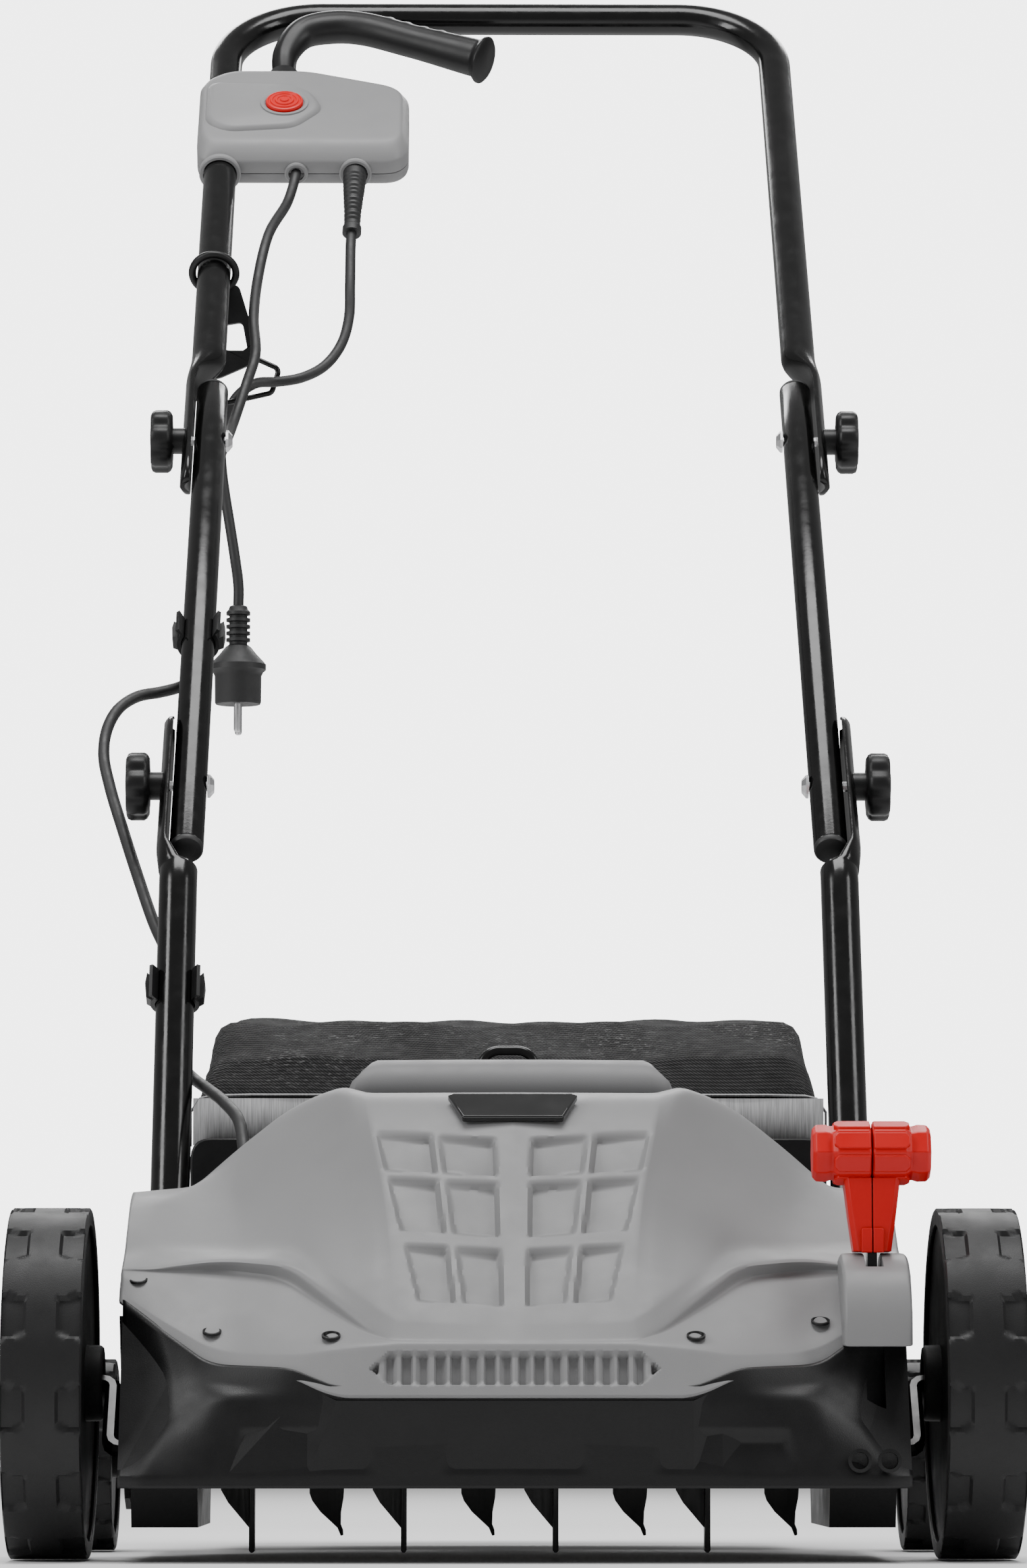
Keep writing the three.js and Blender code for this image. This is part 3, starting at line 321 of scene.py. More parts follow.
class Shape:
    """Vertices and faces gathered from lofts, turned profiles and plates."""

    def __init__(self):
        self.verts = []
        self.faces = []

    def loft(self, rings, closed=True, caps=True):
        base, n = len(self.verts), len(rings[0])
        for ring in rings:
            self.verts += [tuple(p) for p in ring]
        for i in range(len(rings) - 1):
            for j in range(n if closed else n - 1):
                a, b = base + i * n + j, base + i * n + (j + 1) % n
                self.faces.append((a, b, b + n, a + n))
        if caps:
            last = base + (len(rings) - 1) * n
            self.faces.append(tuple(base + j for j in reversed(range(n))))
            self.faces.append(tuple(last + j for j in range(n)))
        return self

    def turned(self, profile, centre, radius=lambda x, r, turn: r, segments=48, place=at):
        """Turns (across, radius) pairs round an axis that runs across at centre = (y, z)."""
        rings = []
        for x, r in profile:
            around = [(radius(x, r, t), t) for t in full_turn(segments)]
            rings.append([place(x, centre[0] + q * math.cos(t), centre[1] + q * math.sin(t))
                          for q, t in around])
        return self.loft(rings)

    def tube(self, path, section, out):
        """Sweeps section(i), pairs along the side and `out` directions, on a path that keeps `out` fixed."""
        rings = []
        for i, p in enumerate(path):
            along = (path[min(i + 1, len(path) - 1)] - path[max(i - 1, 0)]).normalized()
            side = along.cross(out).normalized()
            up = side.cross(along)
            rings.append([p + side * s * MM + up * t * MM for s, t in section(i)])
        return self.loft(rings)

    def prism(self, outline, low, high, place):
        """An outline of (u, v) pairs between two heights; place(u, v, h) puts it in the scene."""
        return self.loft([[place(u, v, h) for u, v in outline] for h in (low, high)])


def piece(name, shape, material, slot, body, *replaced, sharp=35):
    """Makes the object, shades it, parents it to the body it moves with, and hides the CAD parts it replaces."""
    mesh = bpy.data.meshes.new(name)
    mesh.from_pydata(shape.verts, [], shape.faces)
    work = bmesh.new()
    work.from_mesh(mesh)
    bmesh.ops.remove_doubles(work, verts=work.verts, dist=1e-5)
    bmesh.ops.recalc_face_normals(work, faces=work.faces)
    work.to_mesh(mesh)
    work.free()
    mesh.shade_smooth()
    mesh.set_sharp_from_angle(angle=math.radians(sharp))
    obj = bpy.data.objects.new(name, mesh)
    bpy.context.collection.objects.link(obj)
    obj.data.materials.append(material)
    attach(obj, body)
    if replaced:
        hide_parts(*replaced)
    return obj


def bevel(obj, width, segments=3, angle=30):
    edge = obj.modifiers.new("edge", "BEVEL")
    edge.width = width * MM
    edge.segments = segments
    edge.limit_method = "ANGLE"
    edge.angle_limit = math.radians(angle)
    return obj


def circle(r, sides=32):
    return [(r * math.cos(t), r * math.sin(t)) for t in full_turn(sides)]


def full_turn(sides):
    return [2 * math.pi * k / sides for k in range(sides)]


def spun_rings(rings, sides, place):
    """Circles of (radius, height) pairs; place(u, v, h) puts them in the scene."""
    return [[place(r * math.cos(t), r * math.sin(t), h) for t in full_turn(sides)] for r, h in rings]


def smoothstep(t):
    t = min(max(t, 0.0), 1.0)
    return t * t * (3 - 2 * t)


def spline(points, steps):
    """Evenly spaced places on a smooth curve through given ones (centripetal Catmull-Rom)."""
    pts = [Vector(p) for p in points]
    pts = [pts[0] * 2 - pts[1], *pts, pts[-1] * 2 - pts[-2]]
    dense = []
    for a, b, c, d in zip(pts, pts[1:], pts[2:], pts[3:]):
        t1 = (b - a).length ** 0.5
        t2 = t1 + (c - b).length ** 0.5
        t3 = t2 + (d - c).length ** 0.5
        for k in range(24):
            t = t1 + (t2 - t1) * k / 24
            a1 = a * ((t1 - t) / t1) + b * (t / t1)
            a2 = b * ((t2 - t) / (t2 - t1)) + c * ((t - t1) / (t2 - t1))
            a3 = c * ((t3 - t) / (t3 - t2)) + d * ((t - t2) / (t3 - t2))
            b1 = a1 * ((t2 - t) / t2) + a2 * (t / t2)
            b2 = a2 * ((t3 - t) / (t3 - t1)) + a3 * ((t - t1) / (t3 - t1))
            dense.append(b1 * ((t2 - t) / (t2 - t1)) + b2 * ((t - t1) / (t2 - t1)))
    dense.append(pts[-2])
    return evenly(dense, steps)


def evenly(path, steps):
    lengths = [0.0]
    for a, b in zip(path, path[1:]):
        lengths.append(lengths[-1] + (b - a).length)
    out, i = [], 0
    for k in range(steps + 1):
        want = lengths[-1] * k / steps
        while i < len(path) - 2 and lengths[i + 1] < want:
            i += 1
        span = lengths[i + 1] - lengths[i]
        out.append(path[i].lerp(path[i + 1], min(max((want - lengths[i]) / span, 0), 1)))
    return out


def rounded_path(points, radius, pieces=12):
    """A polyline with each inner corner replaced by an arc, radius in mm."""
    out = [points[0]]
    for before, corner, after in zip(points, points[1:], points[2:]):
        back, on = (before - corner).normalized(), (after - corner).normalized()
        half = back.angle(on) / 2
        reach = radius * MM / math.tan(half)
        middle = corner + (back + on).normalized() * (radius * MM / math.sin(half))
        start, end = corner + back * reach - middle, corner + on * reach - middle
        sweep = start.angle(end)
        for k in range(pieces + 1):
            a = math.sin((1 - k / pieces) * sweep) / math.sin(sweep)
            b = math.sin(k / pieces * sweep) / math.sin(sweep)
            out.append(middle + start * a + end * b)
    return [*out, points[-1]]


# ---- cords --------------------------------------------------------------------------------------
CORD_R = 3.5


def cord_curve(name, route, steps):
    """A round cord on one smooth curve through the places of its route."""
    curve = bpy.data.curves.new(name, "CURVE")
    curve.dimensions = "3D"
    curve.bevel_depth = CORD_R * MM
    curve.bevel_resolution = 4
    curve.use_fill_caps = True
    places = spline(route, steps)
    line = curve.splines.new("POLY")
    line.points.add(len(places) - 1)
    for point, place in zip(line.points, places):
        point.co = (*place, 1)
    line.use_smooth = True
    obj = bpy.data.objects.new(name, curve)
    bpy.context.collection.objects.link(obj)
    obj.data.materials.append(RUBBER)
    return obj


SUPPLY_X = -99
CABLE_X = -139
PLUG = (-174, 762, 608)
SUPPLY_ROUTE = [
    on_handle(SUPPLY_X - 1.7, 281, -9.4), on_handle(SUPPLY_X - 2.4, 262, -14.9),
    *(at(*p) for p in (
        (-101.5, 790, 828), (-102, 783, 805), (-107, 774, 785), (-118, 765, 769), (-133, 758, 760),
        (-149, 756.5, 757), (-163, 762, 757), (-175, 769, 750), (-183, 774, 737), (-186.5, 775, 721),
        (-186, 772.5, 703), (-183.5, 768.5, 684), (-180, 765, 663), (-176.5, 762.6, 641),
        (-174, 762, 622), (-174, 762, 608.5))),
]
CLIP_MID = -215
UPPER_CABLE_ROUTE = [
    on_handle(CABLE_X, 347, 0), on_handle(CABLE_X - 0.5, 328, -0.4), on_handle(-144, 303, -5),
    *(at(*p) for p in ((-156, 790, 862), (-162, 768, 830), (-164, 738, 796), (-162, 715, 768),
                       (-167, 700, 747), (-175, 676, 716))),
    on_handle(-184, -8, -18), on_handle(-187, -50, -17.5), on_handle(-187, -120, -17),
    on_handle(-187, CLIP_MID + 12, -16.5),
]


def route_length(places):
    return sum((b - a).length for a, b in zip(places, places[1:]))


# ---- motor cover --------------------------------------------------------------------------------
# Rows of the cover's outer surface from its front lip to its back edge. Each row has eight places
# (across, behind the front axle, up) from the middle to the left side. The right side mirrors it.
COVER_ROWS = (
    ((0, -100, 85), (-62, -100, 85), (-78, -100, 85), (-93, -99, 85), (-116, -90, 95), (-155, -72, 97),
     (-185, -56, 118.5), (-207, -42, 135.5)),
    ((0, -88.5, 112), (-62, -88.5, 112), (-78, -88, 111.5), (-93, -87, 110), (-114, -83, 106.7),
     (-155, -66, 108.5), (-187, -50, 127), (-207, -38, 140.6)),
    ((0, -87.5, 113), (-62, -87, 113.5), (-78, -80, 116), (-95, -72, 119), (-126, -56, 127),
     (-157, -40, 133.5), (-184, -36, 141.5), (-206.5, -33, 148)),
    ((0, -87, 113.5), (-63, -86, 114), (-78, -75, 118.5), (-100, -52, 132), (-122, -30, 147),
     (-155, -17, 151.4), (-190, -27, 151), (-206.5, -30, 151.2)),
    ((0, -86, 114.5), (-62, -85, 115), (-77, -75, 121.5), (-97, -55, 138), (-117, -36, 154.5),
     (-154, -22, 158), (-190, -28, 152.5), (-206.3, -29, 152.5)),
    ((0, -78, 123.7), (-60, -77, 126), (-73, -68, 134.3), (-96, -42, 152), (-118, -12, 165), (-155.6, 6, 164),
     (-192, 0, 166), (-206, -6, 162)),
    ((0, -20, 184.2), (-66, -16, 187), (-78, -6, 190.3), (-101, 7, 189), (-126, 20, 186), (-156, 38, 182),
     (-193, 28, 182), (-206, 26, 180)),
    ((0, 16, 228.6), (-76, 24, 228), (-84, 32, 228), (-108, 46, 220), (-133, 57, 210), (-160, 66, 197.5),
     (-186, 50, 194), (-206, 48, 191)),
    ((0, 42, 246.5), (-78, 50, 247), (-92, 62, 252), (-108, 78, 249), (-125, 90, 241), (-150, 97, 221),
     (-172, 86, 200), (-206, 76, 197)),
    ((0, 64, 251), (-78, 72, 251), (-92, 84, 255), (-108, 96, 250), (-125, 108, 240), (-150, 112, 222),
     (-174, 108, 201), (-206, 108, 197)),
    ((0, 150, 251), (-78, 150, 251), (-92, 150, 254), (-108, 150, 249), (-125, 150, 239), (-150, 150, 221),
     (-174, 150, 201), (-206, 150, 196)),
    ((0, 243, 168), (-78, 243, 168), (-92, 243, 168), (-108, 243, 167), (-125, 243, 165), (-150, 243, 162),
     (-174, 243, 158), (-206, 243, 152)),
)
# How far each row and column rounds off towards its neighbours: 0.5 flows smoothly, 0.1 is crisp.
ROW_ROUNDS = (0, 0.10, 0.12, 0.18, 0.30, 0.22, 0.5, 0.5, 0.35, 0.35, 0.3, 0)
COLUMN_ROUNDS = (0, 0.10, 0.30, 0.5, 0.32, 0.35, 0.18, 0)
# Samples from each row, or column, to the next.
ROW_STEPS = (24, 5, 6, 6, 14, 44, 32, 14, 8, 10, 12)
COLUMN_STEPS = (46, 12, 8, 12, 14, 14, 10)
LEVER_SIDE_BACK = 22  # how much further back the right side stands, behind the height lever


def rounded_weights(rounds, steps):
    """Weights on the control places for each sample along a line whose corners are rounded off."""
    samples = [k + j / n for k, n in enumerate(steps) for j in range(n)] + [len(steps)]
    weights = np.zeros((len(samples), len(rounds)))
    for row, t in enumerate(samples):
        k = min(max(int(round(t)), 1), len(rounds) - 2)
        r = rounds[k]
        if r and abs(t - k) < r:
            s = (t - k + r) / (2 * r)
            before, after = (1 - s) ** 2, s ** 2
            weights[row, k - 1] += before * r
            weights[row, k] += before * (1 - r) + 2 * s * (1 - s) + after * (1 - r)
            weights[row, k + 1] += after * r
        else:
            low = min(int(t), len(rounds) - 2)
            weights[row, low] += 1 - (t - low)
            weights[row, low + 1] += t - low
    return weights


def cover_grid():
    """The cover's outer surface in millimetres: an array of rows, columns and (x, y, z)."""
    left = np.array(COVER_ROWS, float)
    right = left.copy()
    right[5:8, 6:, 1] += LEVER_SIDE_BACK
    half = [np.einsum("rk,kcx,sc->rsx", rounded_weights(ROW_ROUNDS, ROW_STEPS), side,
                      rounded_weights(COLUMN_ROUNDS, COLUMN_STEPS)) for side in (left, right)]
    half[1][..., 0] *= -1
    return np.concatenate([half[0][:, ::-1], half[1][:, 1:]], axis=1)


def wall(inside, width):
    """1 where `inside` (mm past an outline) is over width, falling to 0 at the outline."""
    return np.clip(inside / width, 0, 1)


# The intake panels: two columns on each side of a middle band, in three rows. Each edge is
# (across at height 130, more across for each mm up).
PANEL_COLUMNS = ((5.2, 0.046, 26.3, 0.150), (29.7, 0.144, 49.3, 0.255))
PANEL_ROWS = ((204.0, 225.4), (171.3, 200.4), (134.3, 164.5))
PANEL_DEPTH = 6.0
VENT = {"half": 75, "z": 99.7, "half_z": 8.6, "pitch": 8.6, "rib": 1.2, "depth": 4.6}


def cover_relief(grid):
    """How far each place of the cover is pressed in, in mm."""
    x, z = np.abs(grid[..., 0]), grid[..., 2]
    front = grid[..., 1] < 50
    depth = np.zeros(x.shape)
    for inner, inner_slope, outer, outer_slope in PANEL_COLUMNS:
        near = inner + (z - 130) * inner_slope
        far = outer + (z - 130) * outer_slope
        for low, high in PANEL_ROWS:
            tilted = z - 0.06 * (x - 40)
            inside = np.minimum.reduce([x - near, far - x, (tilted - low) * 0.9, (high - tilted) * 0.9])
            down = np.clip((high - tilted) / (high - low), 0, 1)
            across = np.clip((far - x) / (far - near), 0, 1)
            tilt = 0.30 + 0.70 * (0.45 * down + 0.55 * across)
            depth = np.maximum(depth, wall(inside, 2.2) * tilt * PANEL_DEPTH * front)
    slanted = VENT["half"] - 1.15 * np.abs(z - VENT["z"])
    inside = np.minimum(slanted - x, VENT["half_z"] - np.abs(z - VENT["z"]))
    rib = np.abs((grid[..., 0] + 1000 * VENT["pitch"] + VENT["pitch"] / 2) % VENT["pitch"]
                 - VENT["pitch"] / 2)
    between = wall(rib - VENT["rib"], 0.9)
    vent = wall(inside, 1.6) * (0.25 + 0.75 * between) * VENT["depth"]
    return depth + np.where(grid[..., 1] < -84, vent, 0)


def push_in(grid, depth):
    """Moves each place of a grid in along its normal."""
    along = np.gradient(grid, axis=1)
    down = np.gradient(grid, axis=0)
    normal = np.cross(along, down)
    normal /= np.linalg.norm(normal, axis=2, keepdims=True) + 1e-9
    if normal[grid.shape[0] // 3, grid.shape[1] // 2, 1] > 0:
        normal = -normal
    return grid - normal * depth[..., None]


def cover_shell():
    grid = cover_grid()
    grid = push_in(grid, cover_relief(grid))
    shape = Shape().loft([[at(*p) for p in row] for row in grid], closed=False, caps=False)
    shell = piece("cover_shell", shape, GREY, "cover_grey", "deck", "motor_cover", sharp=40)
    thick = shell.modifiers.new("thickness", "SOLIDIFY")
    thick.thickness = 2.4 * MM
    thick.offset = -1
    return shell


TOWER = {"x": 188.7, "half": 17.8, "wall": 3.0}
TOWER_PROFILE = ((-80, 111), (-79, 128), (-73, 141), (-66, 149.5), (-55, 156), (-43, 159.6), (-33, 160.6),
                 (-20, 158.6), (-8, 153.5), (2, 146), (10, 136), (14, 122), (14, 112))


def lever_tower():
    """The domed box on the right, open below, with the slot that the lever's arm stands in."""
    shape = Shape()
    rings = []
    for x, inset in ((-17.8, 1.6), (-16.6, 0.3), (-14.5, 0), (14.5, 0), (16.6, 0.3), (17.8, 1.6)):
        middle = Vector((-33, 128))
        ring = [Vector(p) - (Vector(p) - middle).normalized() * inset * 1.4 for p in TOWER_PROFILE]
        rings.append([at(TOWER["x"] + x, y, z) for y, z in ring])
    shape.loft(rings)
    tower = piece("cover_lever_tower", shape, GREY, "cover_grey", "deck", sharp=40)
    slot = Shape()
    slot.prism([(-4.6, -60), (4.6, -60), (4.6, 6), (-4.6, 6)], 140, 170, lambda u, v, h: at(188 + u, v, h))
    cutter = bpy.data.objects.new("slot_cutter", bpy.data.meshes.new("slot_cutter"))
    cutter.data.from_pydata(slot.verts, [], slot.faces)
    bpy.context.collection.objects.link(cutter)
    hole = tower.modifiers.new("slot", "BOOLEAN")
    hole.object = cutter
    hole.operation = "DIFFERENCE"
    apply_modifiers(tower)
    bpy.data.objects.remove(cutter)
    return bevel(tower, 0.8, 2)


def apply_modifiers(obj):
    seen = obj.evaluated_get(bpy.context.evaluated_depsgraph_get())
    mesh = bpy.data.meshes.new_from_object(seen)
    obj.modifiers.clear()
    obj.data = mesh


SCREW_SLOPE = 0.42  # how steeply the screws follow the cover's lip
COVER_SCREWS = ((-197.5, -32, 146), (-157.7, -57, 118.5), (-95.2, -78, 116), (94, -78, 116), (160, -52, 124))


def cover_screws():
    shape = Shape()
    for x, y, z in COVER_SCREWS:
        rings = [(4.9, 0.0), (4.9, 1.1), (4.1, 1.3), (3.9, -0.4), (0.01, -0.8)]
        shape.loft(spun_rings(rings, 28, lambda u, v, h: at(x + u, y + v, z + h + SCREW_SLOPE * v)),
                   caps=False)
    return piece("cover_screws", shape, FITTING, "fitting_black", "deck")


def name_plate():
    """The blank gloss badge in its shallow frame."""
    slope = math.atan2(16, 23)

    def place(u, v, h):
        return at(u, 31.5 + v * math.cos(slope) - h * math.sin(slope),
                  238.2 + v * math.sin(slope) + h * math.cos(slope))
    outline = [(-27, -11.5), (27, -11.5), (35, 10.5), (32, 12.5), (-32, 12.5), (-35, 10.5)]
    shape = Shape().prism(outline, 0.4, 4.2, place)
    bevel(piece("badge_plate", shape, BADGE, "badge_black", "deck", "name_badge"), 0.9)


# ---- height lever -------------------------------------------------------------------------------
LEVER_X = 188


def lever_half(name, side):
    """One red moulding: an eight-sided grip with an end collar and raised bands, on a tapered stem."""
    y, z = -35, 213

    def face(x, r, turn):
        flat = math.pi / 4
        return r * math.cos(flat / 2) / math.cos((turn % flat) - flat / 2)
    shape = Shape()
    seam = LEVER_X + side * 0.3
    grip = ((0, 15.6), (0.9, 16.6), (17.5, 16.6), (20.5, 14.2), (22, 14.6), (24, 15.2), (28.8, 15.0),
            (30.8, 12.8), (31, 0.01))
    shape.turned([(seam + side * u, r) for u, r in grip], (y, z), face, 48)
    for turn in range(8):
        middle = math.radians(turn * 45 + 22.5)
        across = (-math.sin(middle), math.cos(middle))
        rise = (math.cos(middle), math.sin(middle))

        def place(u, v, h):
            return at(seam + side * u, y + across[0] * v + rise[0] * h, z + across[1] * v + rise[1] * h)
        shape.prism([(0.6, -4.6), (17.4, -4.6), (19.6, -2.2), (19.6, 2.2), (17.4, 4.6), (0.6, 4.6)], 13, 16.5,
                    place)
    rings = []
    for width, height in ((9.6, 161), (12.2, 180), (14.6, 200)):
        rings.append([at(seam + side * u, y + v, height) for u, v in
                      ((0, -10.8), (width - 2.4, -10.8), (width, -8.4), (width, 8.4), (width - 2.4, 10.8),
                       (0, 10.8))])
    shape.loft(rings)
    shape.prism([(0, 160.4), (5.6, 160.4), (5.6, 172.5), (4.8, 173.4), (0, 173.4)], 10.5, 13.0,
                lambda u, v, h: at(seam + side * u, y - h, v))
    half = piece(f"lever_grip_{name}", shape, RED, "red_plastic", "front_axle", f"height_lever_{name}")
    return bevel(half, 0.9, 3)



# ---- wheels -------------------------------------------------------------------------------------
WHEEL_X = 224
TREAD_PITCHES = 12
WHEELS = {
    "front": {"r": 92.6, "width": 42, "y": 0, "z": 92.7, "hub": 20},
    "rear": {"r": 54.2, "width": 34, "y": 262, "z": 54.3, "hub": 13},
}


def wheel_surface(r, width):
    """The tread: side pockets between lugs and a plain band round the middle."""
    pocket = width * 0.31

    def radius(x, at_r, turn):
        into = min(x, width - x)
        if at_r < r - 0.1 or into > pocket + 0.8:
            return at_r
        shift = math.radians(8.5)
        step = 2 * math.pi / TREAD_PITCHES
        off = abs((turn - shift + step / 2) % step - step / 2)
        half = math.radians(8.0 - 1.75 * into / pocket)
        inside = min((half - off) * r, (pocket - into) * 1.6)
        return at_r - 2.3 * smoothstep(inside / 1.4 + 0.3)
    return radius


def web_with_windows(shape, x0, x1, inner, outer, window, place, sectors=6, steps=56):
    """A flat ring between two radii, pierced by round windows, as thick as x0 to x1."""
    middle = (inner + outer) / 2
    for sector in range(sectors):
        centre = 2 * math.pi * (sector + 0.5) / sectors
        half = math.pi / sectors
        edge, hole = [], []
        for k in range(steps):
            phi = 2 * math.pi * (k + 0.5) / steps
            cos, sin = math.cos(phi), math.sin(phi)
            reach = 1 / max(abs(cos) / ((outer - inner) / 2), abs(sin) / half)
            edge.append((middle + cos * reach, centre + sin * reach))
            hole.append((middle + window * cos, centre + window * sin / middle))
        corners = ((edge, x0), (hole, x0), (hole, x1), (edge, x1))
        shape.loft([[place(x, r * math.cos(t), r * math.sin(t)) for r, t in pairs] for pairs, x in corners],
                   caps=False)


def wheel(name, side, node, body, r, width, y, z, hub):
    """A hollow moulded wheel: treaded rim, dished web with windows, and a hub that faces the deck."""
    shape = Shape()

    def place(x, dy, dz):
        return at(side * (WHEEL_X + x), y + dy, z + dz)

    fine = [0.9 + (width - 1.8) * k / 26 for k in range(27)]
    rim = ([(2.2, r - 9.5), (0.0, r - 8.6), (0.0, r - 2.6), (0.25, r - 0.9)] + [(x, r) for x in fine]
           + [(width - 0.25, r - 0.9), (width, r - 2.6), (width, r - 7.8), (width - 1.6, r - 8.8),
              (width * 0.62, r - 10.5), (width * 0.5, r - 12.5), (2.2, r - 9.5)])
    shape.turned([(x, q) for x, q in rim], (0, 0), wheel_surface(r, width), 288, place)
    web_with_windows(shape, width * 0.50, width * 0.50 + 3.2, hub, r - 11, (r - 11 - hub) * 0.36, place)
    shape.turned([(width * 0.5, hub + 0.5), (-5.5, hub), (-7.0, hub - 1.2), (-7.0, hub - 6), (1.0, hub - 7),
                  (1.0, 5.2), (width - 3, 5.2), (width - 3, hub - 3), (width - 6, hub),
                  (width * 0.5 + 3, hub + 0.5), (width * 0.5, hub + 0.5)], (0, 0), segments=64, place=place)
    for k in range(6):
        turn = 2 * math.pi * k / 6
        out = (math.cos(turn), math.sin(turn))

        def fin(u, v, h):
            return place(u, out[0] * v - out[1] * h, out[1] * v + out[0] * h)
        shape.prism([(6, hub - 2), (width * 0.5, hub - 2), (width * 0.5, r - 10), (10, r - 9)], -1.3, 1.3,
                    fin)
    made = piece(name, shape, WHEEL, "wheel_black", body, node, sharp=40)
    cap = Shape().turned([(width - 3.5, 0.01), (width - 3.5, hub - 4), (width - 1.8, hub - 4),
                          (width - 0.8, hub - 7), (width - 0.8, 0.01)], (0, 0), segments=48, place=place)
    piece(f"{name}_cap", cap, FITTING, "fitting_black", body)
    return made


# ---- handle tubes -------------------------------------------------------------------------------
TUBE_R = 11
MID_TUBE_R = 10
UPPER_X = 190.7
MID_X = 187
MID_SPAN = (UPPER_BOLT - LOWER_BOLT).length / MM
CROSSBAR = 541
CORNER_R = 66
SECTION = 40  # points round a tube


def pressed_section(f, side):
    """A tube's section, pressed by f (0 round, 1 flat) into a shallow cup outside the mid tube."""
    points = []
    for k in range(SECTION):
        t = 2 * math.pi * k / SECTION
        s, n = TUBE_R * math.cos(t), TUBE_R * math.sin(t)
        bulge = 4.6 * (1 - (n / TUBE_R) ** 2)
        cup_n = n * 1.12
        shell = 1.5 if s > 0 else -1.5
        cup_s = (MID_X + MID_TUBE_R + 2.2 - UPPER_X) + bulge * 0.8 + shell * min(1, 3 * abs(math.cos(t)))
        points.append((side * ((1 - f) * s + f * cup_s), (1 - f) * n + f * cup_n))
    return points


def pressed_at(a, middle, from_end):
    """How pressed a tube is at a place `a` along the handle, near a bolt at `middle`."""
    return smoothstep((from_end - abs(a - middle)) / 34)


def upper_tube():
    corner = [on_handle(-UPPER_X, CROSSBAR), on_handle(UPPER_X, CROSSBAR)]
    end = -52
    marks = [end + 0.0, end + 1.5, end + 5, end + 10, end + 18, -20, 0, 20, 34, *range(40, 112, 4), 200, 330]
    legs = [[on_handle(side * UPPER_X, a) for a in marks] for side in (-1, 1)]
    bend = rounded_path([legs[0][-1], *corner, legs[1][-1]], CORNER_R, 20)[1:-1]
    path = [*legs[0], *bend, *reversed(legs[1])]

    def section(i):
        p = path[i]
        a = (p - UPPER_BOLT).dot(ALONG) / MM
        f = pressed_at(a, 0, 96) if a < 110 else 0
        from_tip = (a - end) / 12
        narrow = 0.35 + 0.65 * math.sqrt(min(1, max(0.0, from_tip))) if a < 0 else 1
        side = 1 if p.x > 0 else -1
        direction = 1 if i < len(path) / 2 else -1
        return [(s * direction, n * narrow) for s, n in pressed_section(f, side)]
    piece("upper_tube", Shape().tube(path, section, OUT), PAINT, "tube_black", "upper_handle", "upper_handle",
          sharp=50)



def lower_tube(name, side):
    low = at(side * UPPER_X, 152, 132)
    bend = on_handle(side * UPPER_X, -MID_SPAN - 88)
    end = -MID_SPAN + 62
    marks = [end, end - 1.5, end - 5, end - 10, end - 18, -MID_SPAN + 20, -MID_SPAN, -MID_SPAN - 20,
             *[-MID_SPAN - 34 - 4 * k for k in range(9)]]
    top = [on_handle(side * UPPER_X, a) for a in marks]
    path = [*top, *rounded_path([top[-1], bend, low], 30, 10)[1:-1],
            *[bend.lerp(low, t) for t in (0.4, 0.7, 1)]]

    def section(i):
        a = (path[i] - UPPER_BOLT).dot(ALONG) / MM
        f = pressed_at(a, -MID_SPAN, 94) if i < len(marks) + 1 else 0
        from_tip = (end - a) / 12
        narrow = 0.35 + 0.65 * math.sqrt(min(1, max(0.0, from_tip))) if i < 8 else 1
        return [(-s, n * narrow) for s, n in pressed_section(f, side)]
    piece(f"lower_tube_formed_{name}", Shape().tube(path, section, OUT), PAINT, "tube_black", "deck",
          f"lower_tube_{name}", sharp=50)


def mid_tube(name, side):
    top, bottom = 56, -MID_SPAN - 60
    path = [on_handle(side * MID_X, a) for a in (bottom, bottom + 1, 0, top - 1, top)]
    radii = (9.4, 10, 10, 10, 9.4)
    shape = Shape().tube(path, lambda i: circle(radii[i], SECTION), OUT)
    piece(f"mid_tube_round_{name}", shape, PAINT, "tube_black", "mid_handle", f"mid_tube_{name}", sharp=50)
    for level, edge, way in (("upper", top, 1), ("lower", bottom, -1)):
        ends = ((-0.2, 9.9), (1.6, 9.9), (3.0, 9.0), (3.9, 6.5), (4.2, 3.0))
        path = [on_handle(side * MID_X, edge + way * a) for a, _ in ends]
        cap = Shape().tube(path, lambda i: circle(ends[i][1], SECTION), OUT)
        piece(f"tube_cap_{level}_{name}", cap, RUBBER, "cable_rubber", "mid_handle",
              f"end_cap_{level}_{name}")


def knob(name, side, centre, level):
    """A seven-lobed knob with a dished face, on a short neck."""
    def place(x, dy, dz):
        return Vector((x * MM, 0, 0)) + Vector((0, centre.y, centre.z)) + Vector((0, dy, dz)) * MM

    def lobed(x, r, turn):
        if r < 12:
            return r
        return r - 2.2 * (0.5 + 0.5 * math.cos(7 * turn)) ** 2 * (r / 20.5)
    x0 = 202.8
    profile = [(0, 7.6), (0, 8.3), (7.6, 8.3), (8.0, 17.0), (9.2, 19.2), (11.0, 20.3), (18.6, 20.3),
               (20.6, 19.4), (21.4, 17.4), (21.0, 9.5), (20.0, 8.4), (20.0, 0.01)]
    shape = Shape().turned([(side * (x0 + u), r) for u, r in profile], (0, 0), lobed, 140, place)
    piece(f"knob_star_{level}_{name}", shape, FITTING, "fitting_black", f"knob_{level}_{name}",
          f"knob_{level}_{name}", sharp=40)


# ---- switch box, button and bail lever ----------------------------------------------------------
BOX_OUTLINE = ((-207, 346), (-203, 331), (-72, 331), (-63, 343), (-63, 412), (-72, 424), (-132, 446),
               (-190, 446), (-207, 430))
BOX_TOP_OUTLINE = ((-203, 352), (-197, 343), (-76, 343), (-68, 350), (-68, 408), (-76, 418), (-134, 438),
                   (-186, 438), (-203, 424))


